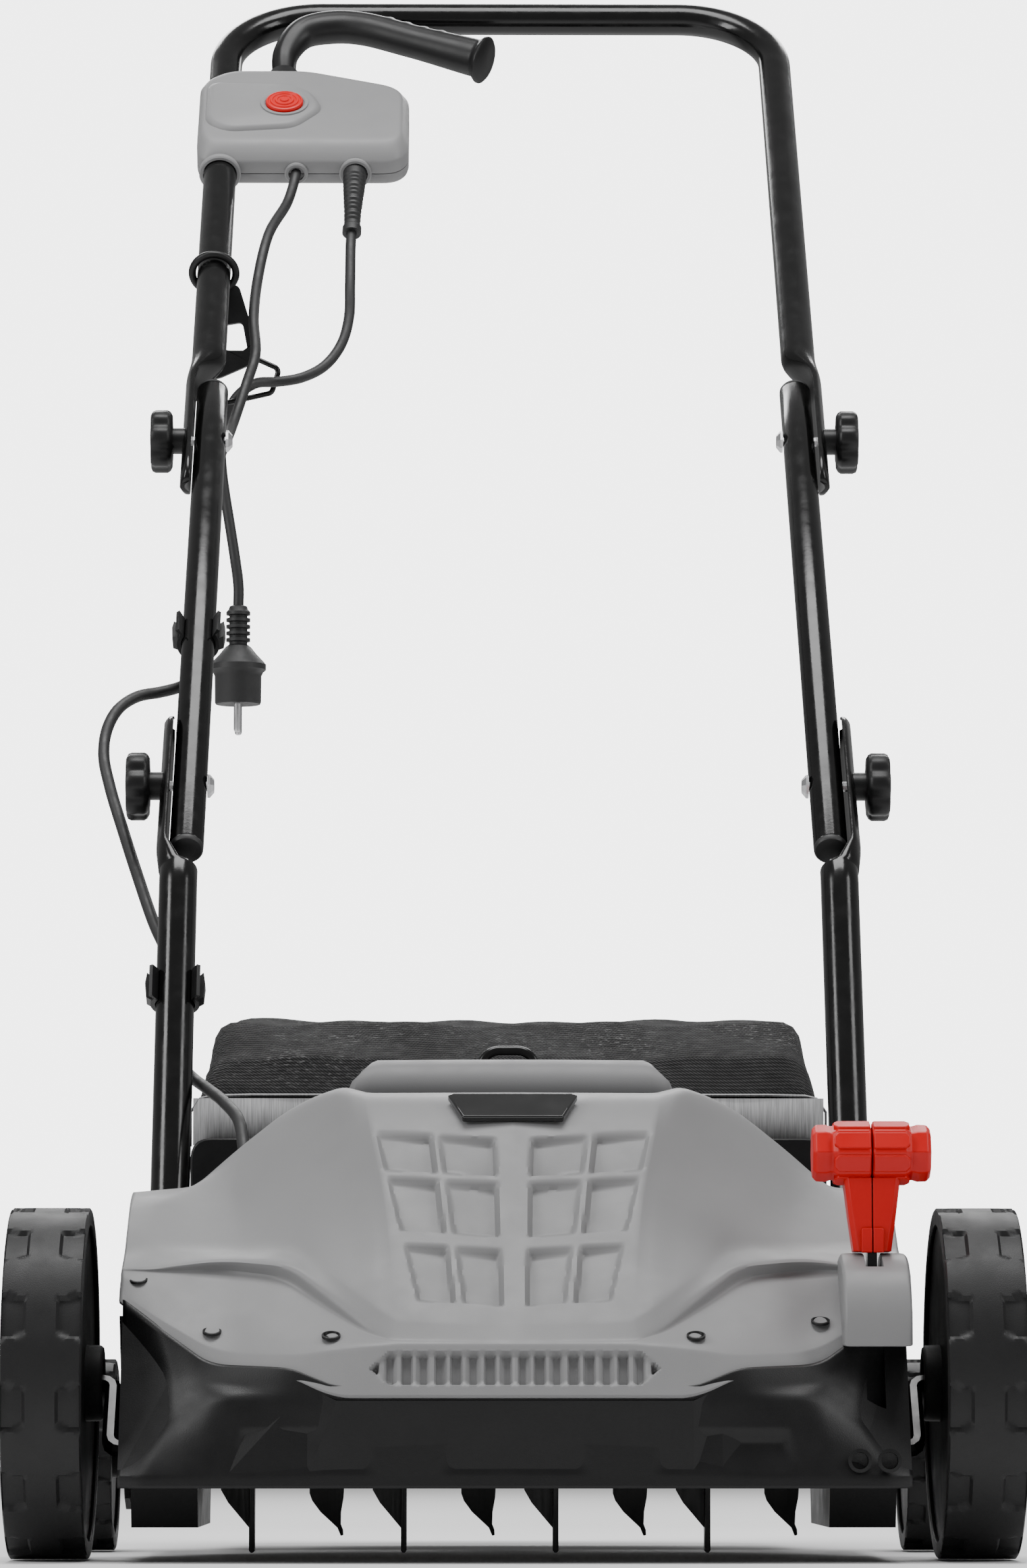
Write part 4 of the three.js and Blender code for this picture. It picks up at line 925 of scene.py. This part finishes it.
def rounded_outline(points, radius, pieces=5):
    """A closed outline with every corner rounded by a curve through `radius` mm of each side."""
    out = []
    for before, corner, after in zip((points[-1], *points[:-1]), points, (*points[1:], points[0])):
        p, c, n = Vector(before), Vector(corner), Vector(after)
        reach_back = min(radius, (p - c).length * 0.45)
        reach_on = min(radius, (n - c).length * 0.45)
        start = c + (p - c).normalized() * reach_back
        end = c + (n - c).normalized() * reach_on
        for k in range(pieces + 1):
            t = k / pieces
            out.append(tuple(start * (1 - t) ** 2 + c * (2 * t * (1 - t)) + end * t ** 2))
    return out


def box_ring(n, shrink):
    """The box's outline at height n; shrink goes from 0, its widest, to 1, its top face, and beyond."""
    low = rounded_outline(BOX_OUTLINE, 9)
    high = rounded_outline(BOX_TOP_OUTLINE, 9)
    return [on_handle(a[0] + (b[0] - a[0]) * shrink, a[1] + (b[1] - a[1]) * shrink, n)
            for a, b in zip(low, high)]


def switch_box():
    top = ((-0.7, 0.12), (-0.7, 0.02), (0.2, 0.0), (7.5, 0.0), (9.6, 0.06), (15.2, 0.72), (17.0, 0.94),
           (17.8, 1.2), (18, 1.5))
    shape = Shape().loft([box_ring(n, f) for n, f in top])
    raised = rounded_outline([(-201, 366), (-186, 355), (-141, 360), (-122, 384), (-130, 406), (-147, 416),
                              (-201, 418)], 8)
    centre = (-165, 388)

    def hump(n, f):
        return [on_handle(centre[0] + (x - centre[0]) * f, centre[1] + (a - centre[1]) * f, n)
                for x, a in raised]
    shape.loft([hump(12, 1.06), hump(17.8, 1.02), hump(20.2, 0.97), hump(21.4, 0.9)])
    piece("switch_box_cover", shape, GREY, "cover_grey", "upper_handle", "switch_box_top", sharp=50)
    base = ((-14, 1.5), (-13.8, 1.2), (-12.8, 0.9), (-9, 0.1), (-7, 0.0), (-1.8, 0.0), (-1.3, 0.02),
            (-1.3, 0.12))
    shape = Shape().loft([box_ring(n, f) for n, f in base])
    piece("switch_box_back", shape, GREY, "cover_grey", "upper_handle", "switch_box_base", sharp=50)
    collars = Shape()
    for x, r, reach in ((-UPPER_X, 14.2, 4.0), (SUPPLY_X, 11.0, 3.0), (CABLE_X, 8.0, 3.0)):
        rings = ((r, 0), (r, -reach + 0.8), (r - 0.8, -reach), (r - 2.6, -reach), (r - 2.6, 0))
        collars.loft(spun_rings(rings, 40, lambda u, v, h: on_handle(x + u, 332 + h, v)), caps=False)
    piece("box_collars", collars, GREY, "cover_grey", "upper_handle", sharp=40)
    gaiter = Shape()
    folds = [(9.8 + 1.6 * (k % 2), 438 + 1.5 * k) for k in range(10)]
    gaiter.loft(spun_rings(folds, 36, lambda u, v, h: on_handle(-150 + u, h, 3 + v)))
    piece("lever_gaiter", gaiter, RUBBER, "cable_rubber", "upper_handle", sharp=60)


def safety_button():
    def on_button(u, v, h):
        return on_handle(-148 + u, 387 + v, h)
    rings = ((12.8, 14), (12.8, 23.0), (12.3, 24.0), (11.4, 24.3), (10.9, 23.7), (9.9, 23.7), (9.5, 24.5),
             (8.3, 24.5), (7.9, 23.9), (6.7, 23.9), (6.3, 24.8), (4.9, 24.8), (4.5, 24.2), (3.1, 24.2),
             (2.7, 25.1), (0.01, 25.2))
    shape = Shape().loft(spun_rings(rings, 56, on_button))
    piece("button_cap", shape, RED, "red_plastic", "safety_button", "safety_button", sharp=25)
    rim = Shape()
    ring = ((16.6, 20.6), (16.2, 22.4), (14.6, 22.6), (13.4, 22.0), (13.2, 18))
    rim.loft(spun_rings(ring, 56, on_button), caps=False)
    piece("button_rim", rim, GREY, "cover_grey", "upper_handle", sharp=40)


def bail_lever():
    """A bent neck that swells into a grip with finger ridges and ends in a flange."""
    n = 3
    route = [on_handle(*p) for p in (
        (-150, 414, n), (-150, 452, n), (-149, 478, n + 5), (-137, 498, n + 10), (-116, 503, n + 12),
        (-96, 499, n + 13), (-60, 481, n + 13), (-14, 457, n + 13), (-10.6, 455.2, n + 13))]
    path = spline(route, 170)
    total = route_length(path)
    done = [0.0]
    for a, b in zip(path, path[1:]):
        done.append(done[-1] + (b - a).length)

    def section(i):
        left = (total - done[i]) / MM
        r = 8.2 + 3.4 * smoothstep((done[i] / MM - 40) / 70)
        r += 1.6 * smoothstep((60 - left) / 60) + 3.4 * smoothstep((7 - left) / 5)
        if left < 1.2:
            r -= 1.4 * (1.2 - left)
        ridge = 0.0
        if 34 < left < 88:
            ridge = 2.5 * max(0.0, math.sin(2 * math.pi * (left - 34) / 13.5)) ** 1.4
        return [(r * math.cos(t), r * math.sin(t) * (1 if math.sin(t) < 0 else 0.94)) if math.cos(t) > 0
                else ((r + ridge) * math.cos(t), r * math.sin(t)) for t in
                full_turn(40)]
    piece("bail_grip", Shape().tube(path, section, OUT), FITTING, "fitting_black", "bail_lever", "bail_lever",
          sharp=50)


# ---- cords, plug, boot, hook and clips ----------------------------------------------------------
def lower_lean():
    bend = on_handle(0, -MID_SPAN - 88)
    low = at(0, 152, 132)
    return math.atan2(bend.z - low.z, bend.y - low.y)


LOWER_LEAN = lower_lean()


def behind_lower(z, n):
    y = 152 + (z - 132) / math.tan(LOWER_LEAN)
    return at(-UPPER_X, y + n * math.sin(LOWER_LEAN), z - n * math.cos(LOWER_LEAN))


CLIP_LOW = 318
LOWER_CABLE_ROUTE = [
    on_handle(-187, CLIP_MID + 11, -16.5), on_handle(-187, CLIP_MID, -16.5),
    on_handle(-187, CLIP_MID - 12, -16.5),
    on_handle(-189.5, CLIP_MID - 23, -16), on_handle(-197.5, CLIP_MID - 34, -14),
    on_handle(-209, CLIP_MID - 43, -11.5),
    *(at(*p) for p in ((-222, 413, 507.5), (-232.5, 403.5, 499.5), (-239, 391.5, 486), (-240.5, 378.5, 468.5),
                       (-236, 365, 448), (-227, 346, 420), (-217, 320, 391), (-206, 292, 361))),
    behind_lower(CLIP_LOW + 15, 17.5), behind_lower(CLIP_LOW, 17.5), behind_lower(CLIP_LOW - 15, 17.5),
    behind_lower(CLIP_LOW - 32, 18.5),
    *(at(*p) for p in ((-182, 232, 269), (-171, 208, 260), (-160, 178, 250.5), (-151, 151, 238.5),
                       (-147.5, 133, 220.5), (-145, 118, 204))),
]


def bent_cable(name, route, steps, node):
    """A cable that crosses one of the handle's folds, made as a still mesh from its curve."""
    curve = cord_curve(name + "_line", route, steps)
    mesh = bpy.data.meshes.new_from_object(curve.evaluated_get(bpy.context.evaluated_depsgraph_get()))
    bpy.data.objects.remove(curve)
    cable = bpy.data.objects.new(name, mesh)
    bpy.context.collection.objects.link(cable)
    mesh.shade_smooth()
    cable.data.materials.clear()
    cable.data.materials.append(RUBBER)
    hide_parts(node)
    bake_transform(cable)


def make_plug():
    """A moulded earthed plug that hangs from its lead: ribbed neck, flared body and two pins."""
    x0, y0, z0 = PLUG
    neck = [(0.01, 0.6), (4.6, 0.6), (5.8, 0), (6.4, -2)]
    for k in range(5):
        low = -3.6 - 4.4 * k
        neck += [(7.9, low), (7.9, low - 2.0), (6.0, low - 2.4), (6.0, low - 4.0)]
    body = [(8.5, -27), (12.5, -32), (16.8, -36.5), (18.4, -38.5), (18.4, -42.0), (16.6, -43.6), (15.4, -46),
            (15.2, -63.5), (14.6, -64.8), (0.01, -64.8)]
    shape = Shape().loft(spun_rings(neck + body, 48, lambda u, v, h: at(x0 + u, y0 + v, z0 + h)), caps=False)
    plug = piece("plug_body", shape, RUBBER, "cable_rubber", "upper_handle", "plug", sharp=35)
    pins = Shape()
    for dy in (-9.5, 9.5):
        rings = ((2.4, -62), (2.4, -82.2), (2.0, -83.6), (1.2, -84), (0.01, -84))
        pins.loft(spun_rings(rings, 20, lambda u, v, h: at(x0 + u, y0 + dy + v, z0 + h)), caps=False)
    metal = piece("plug_pins", pins, BRIGHT, "bright_steel", "upper_handle")
    return [plug, metal]


def cord_boot():
    marks = ((345, 0), (330, 0), (318, -1.2), (300, -4), (284, -8.4), (272, -12))
    path = spline([on_handle(SUPPLY_X - (345 - a) * 0.025, a, n) for a, n in marks], 60)

    def section(i):
        done = i / 60
        r = 8.0 - 2.6 * smoothstep((done - 0.18) / 0.8)
        if 0.30 < done < 0.88 and int(done * 36) % 2:
            r -= 0.9
        if done > 0.92:
            r = 6.4
        return circle(r, 32)
    piece("boot_sleeve", Shape().tube(path, section, OUT), RUBBER, "cable_rubber", "upper_handle",
          "cord_boot", sharp=30)


def cord_hook():
    """A ring round the tube, an upright pierced plate and a wire loop that holds the cord."""
    centre = on_handle(-UPPER_X, 202)
    shape = Shape()
    rings = []
    for t in full_turn(56):
        out = Vector((math.cos(t), 0, 0)) + OUT * math.sin(t)
        rings.append([centre + out * (14.4 + 2.5 * math.cos(a)) * MM + ALONG * 2.5 * math.sin(a) * MM
                      for a in full_turn(14)])
    shape.loft([*rings, rings[0]], caps=False)
    piece("hook_ring", shape, FITTING, "fitting_black", "upper_handle", "cord_hook", sharp=60)

    def upright(u, v, h):
        return centre + Vector((u, 12 + h, v)) * MM
    plate = Shape()
    outer = rounded_outline([(-8, -6), (16, -6), (27, -42), (27, -58), (2, -69), (-10, -69)], 4)
    hole = rounded_outline([(6, -33), (18.5, -31), (22, -50), (7, -50), (4, -46), (4, -36)], 3)
    plate.loft([[upright(u, v, h) for u, v in ring] for ring, h in
                ((outer, -2.4), (outer, 2.4), (hole, 2.4), (hole, -2.4), (outer, -2.4))], caps=False)
    bevel(piece("hook_plate", plate, FITTING, "fitting_black", "upper_handle"), 0.6, 2)
    corners = [(25, -54), (43, -62), (38, -78), (-6, -88), (-6, -66)]
    path = rounded_path([upright(u, v, 0) for u, v in corners], 4, 8)
    piece("hook_wire", Shape().tube(path, lambda i: circle(1.8, 16), Vector((0, 1, 0))), PAINT, "tube_black",
          "upper_handle")


def clip(name, node, body, tube_r, place):
    """A snap clip: a cup with flared lips round the tube and a saddle behind it for the cable."""
    shape = Shape()
    turns = [math.radians(-215 + 250 * k / 40) for k in range(41)]
    ring = [(math.cos(t), math.sin(t)) for t in turns]
    outer = [(x * (tube_r + 3.0), z * (tube_r + 3.0)) for x, z in ring]
    inner = [(x * (tube_r + 0.4), z * (tube_r + 0.4)) for x, z in reversed(ring)]
    lips = [(tube_r + 3.6, tube_r * 0.72 + 3.4), (tube_r + 1.6, tube_r * 0.72 + 4.6)]
    outline = [*outer, lips[0], lips[1], *inner, (-lips[1][0], lips[1][1]), (-lips[0][0], lips[0][1])]
    shape.loft([[place(x, a, z) for x, z in outline] for a in (-10, 10)])
    for side in (-1, 1):
        wing = [(side * (tube_r + 2.2), -9), (side * (tube_r + 5.4), -7), (side * (tube_r + 6.2), 2),
                (side * (tube_r + 5.2), 9), (side * (tube_r + 2.2), 6)]
        shape.loft([[place(x, a, z) for x, a in wing] for z in (-4.5, 4.5)])
    saddle = rounded_outline([(-7.5, -tube_r - 10.8), (7.5, -tube_r - 10.8), (8, -tube_r - 1.6),
                              (-8, -tube_r - 1.6)], 2.5)
    start = min(range(len(saddle)), key=lambda k: (saddle[k][0] + 100) ** 2 + (saddle[k][1] + 100) ** 2)
    saddle = saddle[start:] + saddle[:start]
    turns = [math.pi * 1.25 + t for t in full_turn(len(saddle))]
    groove_r = CORD_R + 0.3
    groove = [(groove_r * math.cos(t), -tube_r - 6.5 + groove_r * math.sin(t)) for t in turns]
    shape.loft([[place(x, a, z) for x, z in ring] for ring, a in
                ((saddle, -7), (saddle, 7), (groove, 7), (groove, -7), (saddle, -7))], caps=False)
    bevel(piece(name, shape, FITTING, "fitting_black", body, node, sharp=40), 0.5, 2)


# ---- rear: bag, band and frame ------------------------------------------------------------------
BAG_FRONT = 304


def bag_ring(y, half, low, high, corner, sag):
    """A closed section of the bag at y: a rounded rectangle whose top sags in its middle."""
    points = rounded_outline([(-half, low), (half, low), (half * 0.985, high), (-half * 0.985, high)], corner,
                             8)
    dense = []
    for a, b in zip(points, (*points[1:], points[0])):
        gap = (Vector(b) - Vector(a)).length
        pieces = max(1, int(gap / 9)) if gap > 20 else 1
        dense += [tuple(Vector(a).lerp(Vector(b), k / pieces)) for k in range(pieces)]
    ring = []
    for x, z in dense:
        upper = smoothstep((z - (low + high) / 2) / ((high - low) / 2))
        drop = sag * upper * (1 - (x / half) ** 2)
        side_in = 3.0 * math.sin(math.pi * min(max((z - low) / (high - low), 0), 1)) * (abs(x) / half) ** 6
        ring.append((x - math.copysign(side_in, x), y, z - drop))
    return ring


BAG_STATIONS = (  # behind the front axle, half width, low, high, corner, sag
    (304, 183, 66, 259, 12, 0.6), (312, 183.5, 62, 266, 14, 0.8), (340, 182, 59, 287, 18, 1.0),
    (400, 179, 57, 312, 20, 1.6), (450, 177, 57, 317, 20, 2.0), (494, 175, 60, 318, 22, 1.6),
    (514, 168, 68, 309, 30, 1.6), (526, 158, 82, 294, 34, 1.2), (530, 140, 100, 274, 34, 0.8),
)


def bag_fabric():
    """The bag: one lofted sheet with a slight sag, wrinkled along its length, closed at the back."""
    rings = []
    fine = 9
    for a, b in zip(BAG_STATIONS, BAG_STATIONS[1:]):
        for k in range(fine):
            t = k / fine
            rings.append(bag_ring(*(p + (q - p) * t for p, q in zip(a, b))))
    rings.append(bag_ring(*BAG_STATIONS[-1]))
    rings = [resample(r, 180) for r in rings]
    wrinkled = []
    for ring in rings:
        row = []
        for x, y, z in ring:
            broad = math.sin(x * 0.052 + y * 0.021) * math.sin(y * 0.043 + z * 0.03)
            wave = broad + 0.5 * math.sin(x * 0.11 - y * 0.06 + z * 0.07)
            edge = min(1.0, (y - BAG_FRONT) / 40)
            row.append(at(x * (1 - 0.0045 * (1 + wave) * edge), y,
                          z - 1.3 * (1 + wave) * edge if z > 200 else z))
        wrinkled.append(row)
    shape = Shape().loft(wrinkled, caps=False)
    last = len(shape.verts) - len(wrinkled[-1])
    shape.faces.append(tuple(range(last, len(shape.verts))))
    bag = piece("bag_cloth", shape, CLOTH, "bag_mesh", "catch_bag", "bag_fabric", sharp=80)
    thick = bag.modifiers.new("cloth", "SOLIDIFY")
    thick.thickness = 1.2 * MM
    thick.offset = -1
    return bag


def resample(ring, count):
    """The closed ring with `count` places evenly spread, starting at its lowest left place."""
    start = min(range(len(ring)), key=lambda k: (ring[k][2] + ring[k][0] * 0.5))
    ring = ring[start:] + ring[:start]
    places = [Vector(p) for p in ring] + [Vector(ring[0])]
    return [tuple(p) for p in evenly(places, count)[:-1]]


def bag_band():
    """The light woven band sewn round the bag's mouth, and the black lip below it."""
    shape = Shape()
    rings = []
    for y, grow in ((302.6, 0.6), (302.2, 1.2), (303.5, 1.6), (306, 1.7), (309.5, 1.2)):
        half = 183.6 + grow
        path = [(-half, 232), (-half, 252), (-half + 5, 259.6), (-half + 12, 261.2)]
        path += [(-150 + 300 * k / 30, 261.5 + grow * 0.3) for k in range(31)]
        path += [(half - 12, 261.2), (half - 5, 259.6), (half, 252), (half, 232)]
        rings.append([at(x, y, z) for x, z in path])
    shape.loft(rings, closed=False, caps=False)
    front = []
    for z in (232.4, 246, 259.8):
        front.append([at(-183 + 366 * k / 30, 302.4 - 0.8 * math.sin(k * 0.9) * 0.4, z) for k in range(31)])
    shape.loft(front, closed=False, caps=False)
    band = piece("bag_band", shape, BAND, "flap_grey", "catch_bag", sharp=50)
    thick = band.modifiers.new("thickness", "SOLIDIFY")
    thick.thickness = 0.9 * MM
    thick.offset = -1


def bag_frame():
    """The moulded mouth of the bag and its wire bail."""
    shape = Shape()
    outer = rounded_outline([(-184, 62), (184, 62), (184, 236), (-184, 236)], 12)
    inner = rounded_outline([(-167, 78), (167, 78), (167, 222), (-167, 222)], 8)
    shape.loft([[at(u, y, v) for u, v in ring] for ring, y in
                ((outer, 290), (outer, 301), (inner, 301), (inner, 290), (outer, 290))], caps=False)
    bars = piece("bag_frame_bars", shape, BLACK, "housing_black", "catch_bag", "bag_frame")
    bevel(bars, 1.2, 2)
    corners = [(-16, 300, 232), (-16, 310, 288), (16, 310, 288), (16, 300, 232)]
    path = rounded_path([at(*p) for p in corners], 11, 10)
    wire = Shape().tube(path, lambda i: circle(2.8, 18), Vector((0, 1, 0.001)).normalized())
    piece("bag_bail", wire, PAINT, "tube_black", "catch_bag")


# ---- deck apron and knives ----------------------------------------------------------------------
APRON_ROWS = (  # from the cover's lip down to the rail: places from the middle to the side
    ((0, -97.5, 90), (-92, -97, 90), (-116, -89, 100), (-158, -71.5, 102), (-186, -57, 122),
     (-205, -43, 136)),
    ((0, -97.5, 80), (-93, -97, 80), (-118, -91, 90), (-158, -78, 92), (-178, -68, 96), (-205, -46, 104)),
    ((0, -97, 76), (-94, -96.5, 76), (-122, -92, 84), (-152, -88, 85), (-178, -78, 74), (-205, -56, 70)),
    ((0, -96, 44), (-95, -96, 44), (-122, -95.5, 44), (-160, -95, 44), (-192, -93, 44), (-205, -90, 44)),
    ((0, -96, 38), (-95, -96, 38), (-122, -95.5, 38), (-160, -95, 38), (-192, -93, 38), (-205, -88, 38)),
)


def deck_apron():
    rounds_down, rounds_across = (0, 0.15, 0.12, 0.06, 0), (0, 0.2, 0.2, 0.25, 0.12, 0)
    steps_down, steps_across = (6, 5, 26, 4), (46, 14, 16, 14, 8)
    half = np.einsum("rk,kcx,sc->rsx", rounded_weights(rounds_down, steps_down), np.array(APRON_ROWS, float),
                     rounded_weights(rounds_across, steps_across))
    other = half.copy()
    other[..., 0] *= -1
    grid = np.concatenate([half[:, ::-1], other[:, 1:]], axis=1)
    x, z = grid[..., 0], grid[..., 2]
    depth = np.zeros(x.shape)
    for centre in (-110, 0, 110):
        half_width = 32 + (68.5 - z) * -0.10 + (68.5 - z) * 0.42
        inside = np.minimum(half_width - np.abs(x - centre), 68.5 - z)
        depth = np.maximum(depth, wall(inside, 7) * np.clip((z - 45) / 18, 0, 1) * 4.2)
    grid = push_in(grid, depth * (np.abs(x) < 160))
    shape = Shape().loft([[at(*p) for p in row] for row in grid], closed=False, caps=False)
    apron = piece("deck_apron", shape, BLACK, "housing_black", "deck", sharp=30)
    thick = apron.modifiers.new("thickness", "SOLIDIFY")
    thick.thickness = 2.5 * MM
    thick.offset = -1
    holes = Shape()
    for hx in (177.6, 192.9):
        rings = ((6.2, -0.2), (6.2, -1.0), (4.4, -1.2), (4.2, 3.0), (0.01, 3.4))
        holes.loft(spun_rings(rings, 28, lambda u, v, h: at(hx + u, -94.6 + h, 52.2 + v)), caps=False)
    piece("apron_bushes", holes, FITTING, "fitting_black", "deck")


KNIFE_PITCH = 41
KNIFE_SHIFT = 3  # how far the row of knives stands to the right of the middle
MIDDLE_KNIFE = 4.5


def knife(number, x):
    """Straight knives have a pointed fin on one side; the ones between them curl over at the tip."""
    axle = (75, 64)
    shape = Shape()

    def place(u, v, h, turn=1):
        return at(x + u, axle[0] + h, axle[1] - turn * v)
    straight = number % 2 == 1
    for turn in (1, -1):
        if straight:
            shape.prism([(-1.5, 9), (1.5, 9), (1.5, 60.6), (0.6, 61.8), (-0.6, 61.8), (-1.5, 60.6)], -8, 8,
                        lambda u, v, h: place(u, v, h, turn))
            shape.prism([(-1.2, 20), (-16, 22), (-17, 28), (-13, 35), (-1.2, 49)], -1.3, 1.3,
                        lambda u, v, h: place(u, v, h, turn))
        else:
            left = [(-10, 20), (-10, 30), (-8.6, 34), (-4.2, 40), (1.6, 45.4), (5.0, 48.6), (6.2, 51.6),
                    (6.8, 53.0)]
            right = [(8.2, 52.6), (8.0, 49.6), (6.8, 46.6), (7.0, 40), (8.4, 32), (8.6, 28), (8.4, 20)]
            shape.prism([*left, *right], -1.5, 1.5,
                        lambda u, v, h: place(u, v, h + max(0, v - 30) * 0.35, turn))
            shape.prism([(-1.5, 9), (1.5, 9), (1.5, 26), (-1.5, 26)], -9, 9,
                        lambda u, v, h: place(u, v, h, turn))
    shape.turned([(x - 2.2, 13.4), (x - 2.2, 17), (x + 2.2, 17), (x + 2.2, 13.4), (x - 2.2, 13.4)], axle,
                 segments=32)
    bevel(piece(f"blade_{number}", shape, KNIFE, "knife_steel", "rotor", f"knife_{number}"), 0.35, 2)


FLAP_ROWS = (  # half width, behind the front axle, up
    (90, 152, 251), (88, 154.5, 262.5), (82, 158, 268.5), (78, 166, 273), (77, 174, 274.2),
    (84, 230, 272.5), (87, 292, 267.5), (87, 296.5, 264.5), (87, 297, 252),
)


def rear_flap():
    """The grey flap behind the cover: a bevelled front panel with slanted ends, on a flat lid."""
    rings = []
    for half, y, z in FLAP_ROWS:
        across = [(-half - 1.8, z - 4.5), (-half - 0.4, z - 1.2), (-half + 2.5, z)]
        across += [(-half + 2.5 + (2 * half - 5) * k / 24, z + 0.5 * math.sin(math.pi * k / 24))
                   for k in range(25)]
        across += [(half - 2.5, z), (half + 0.4, z - 1.2), (half + 1.8, z - 4.5)]
        rings.append([at(x, y, zz) for x, zz in across])
    shape = Shape().loft(rings, closed=False, caps=False)
    flap = piece("flap_skin", shape, FLAP_GREY, "flap_grey", "rear_flap", "rear_flap", sharp=40)
    thick = flap.modifiers.new("thickness", "SOLIDIFY")
    thick.thickness = 2.4 * MM
    thick.offset = -1


def make_cords():
    supply = cord_curve("supply_lead", SUPPLY_ROUTE, 90)
    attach(supply, "upper_handle")
    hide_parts("supply_cord")
    length = route_length(spline(SUPPLY_ROUTE, 90))
    tuple(SUPPLY_ROUTE[0])
    make_plug()
    bent_cable("motor_lead_upper", UPPER_CABLE_ROUTE, 110,
               "motor_cable_upper")
    bent_cable("motor_lead_lower", LOWER_CABLE_ROUTE, 150,
               "motor_cable_lower")


make_camera()
make_studio()
dress_nodes()
make_cords()
cord_boot()
cover_shell()
lever_tower()
cover_screws()
name_plate()
for name, side in SIDES:
    lever_half(name, side)
    for end, sizes in WHEELS.items():
        node = f"{end}_wheel_{name}"
        wheel(f"{end}_wheel_treaded_{name}", side, node, node, **sizes)
    lower_tube(name, side)
    mid_tube(name, side)
    for level, centre in (("upper", UPPER_BOLT), ("lower", LOWER_BOLT)):
        knob(name, side, centre, level)
upper_tube()
switch_box()
safety_button()
bail_lever()
cord_hook()
clip("clip_middle", "cable_clip_mid", "mid_handle", MID_TUBE_R,
     lambda x, a, n: on_handle(-MID_X + x, CLIP_MID + a, n))
clip("clip_lower", "cable_clip_low", "deck", TUBE_R,
     lambda x, a, n: behind_lower(CLIP_LOW + a * math.sin(LOWER_LEAN), -n) + Vector((x * MM, 0, 0)))
bag_fabric()
bag_band()
bag_frame()
rear_flap()
deck_apron()
for number in range(1, 9):
    knife(number, (number - MIDDLE_KNIFE) * KNIFE_PITCH + KNIFE_SHIFT)
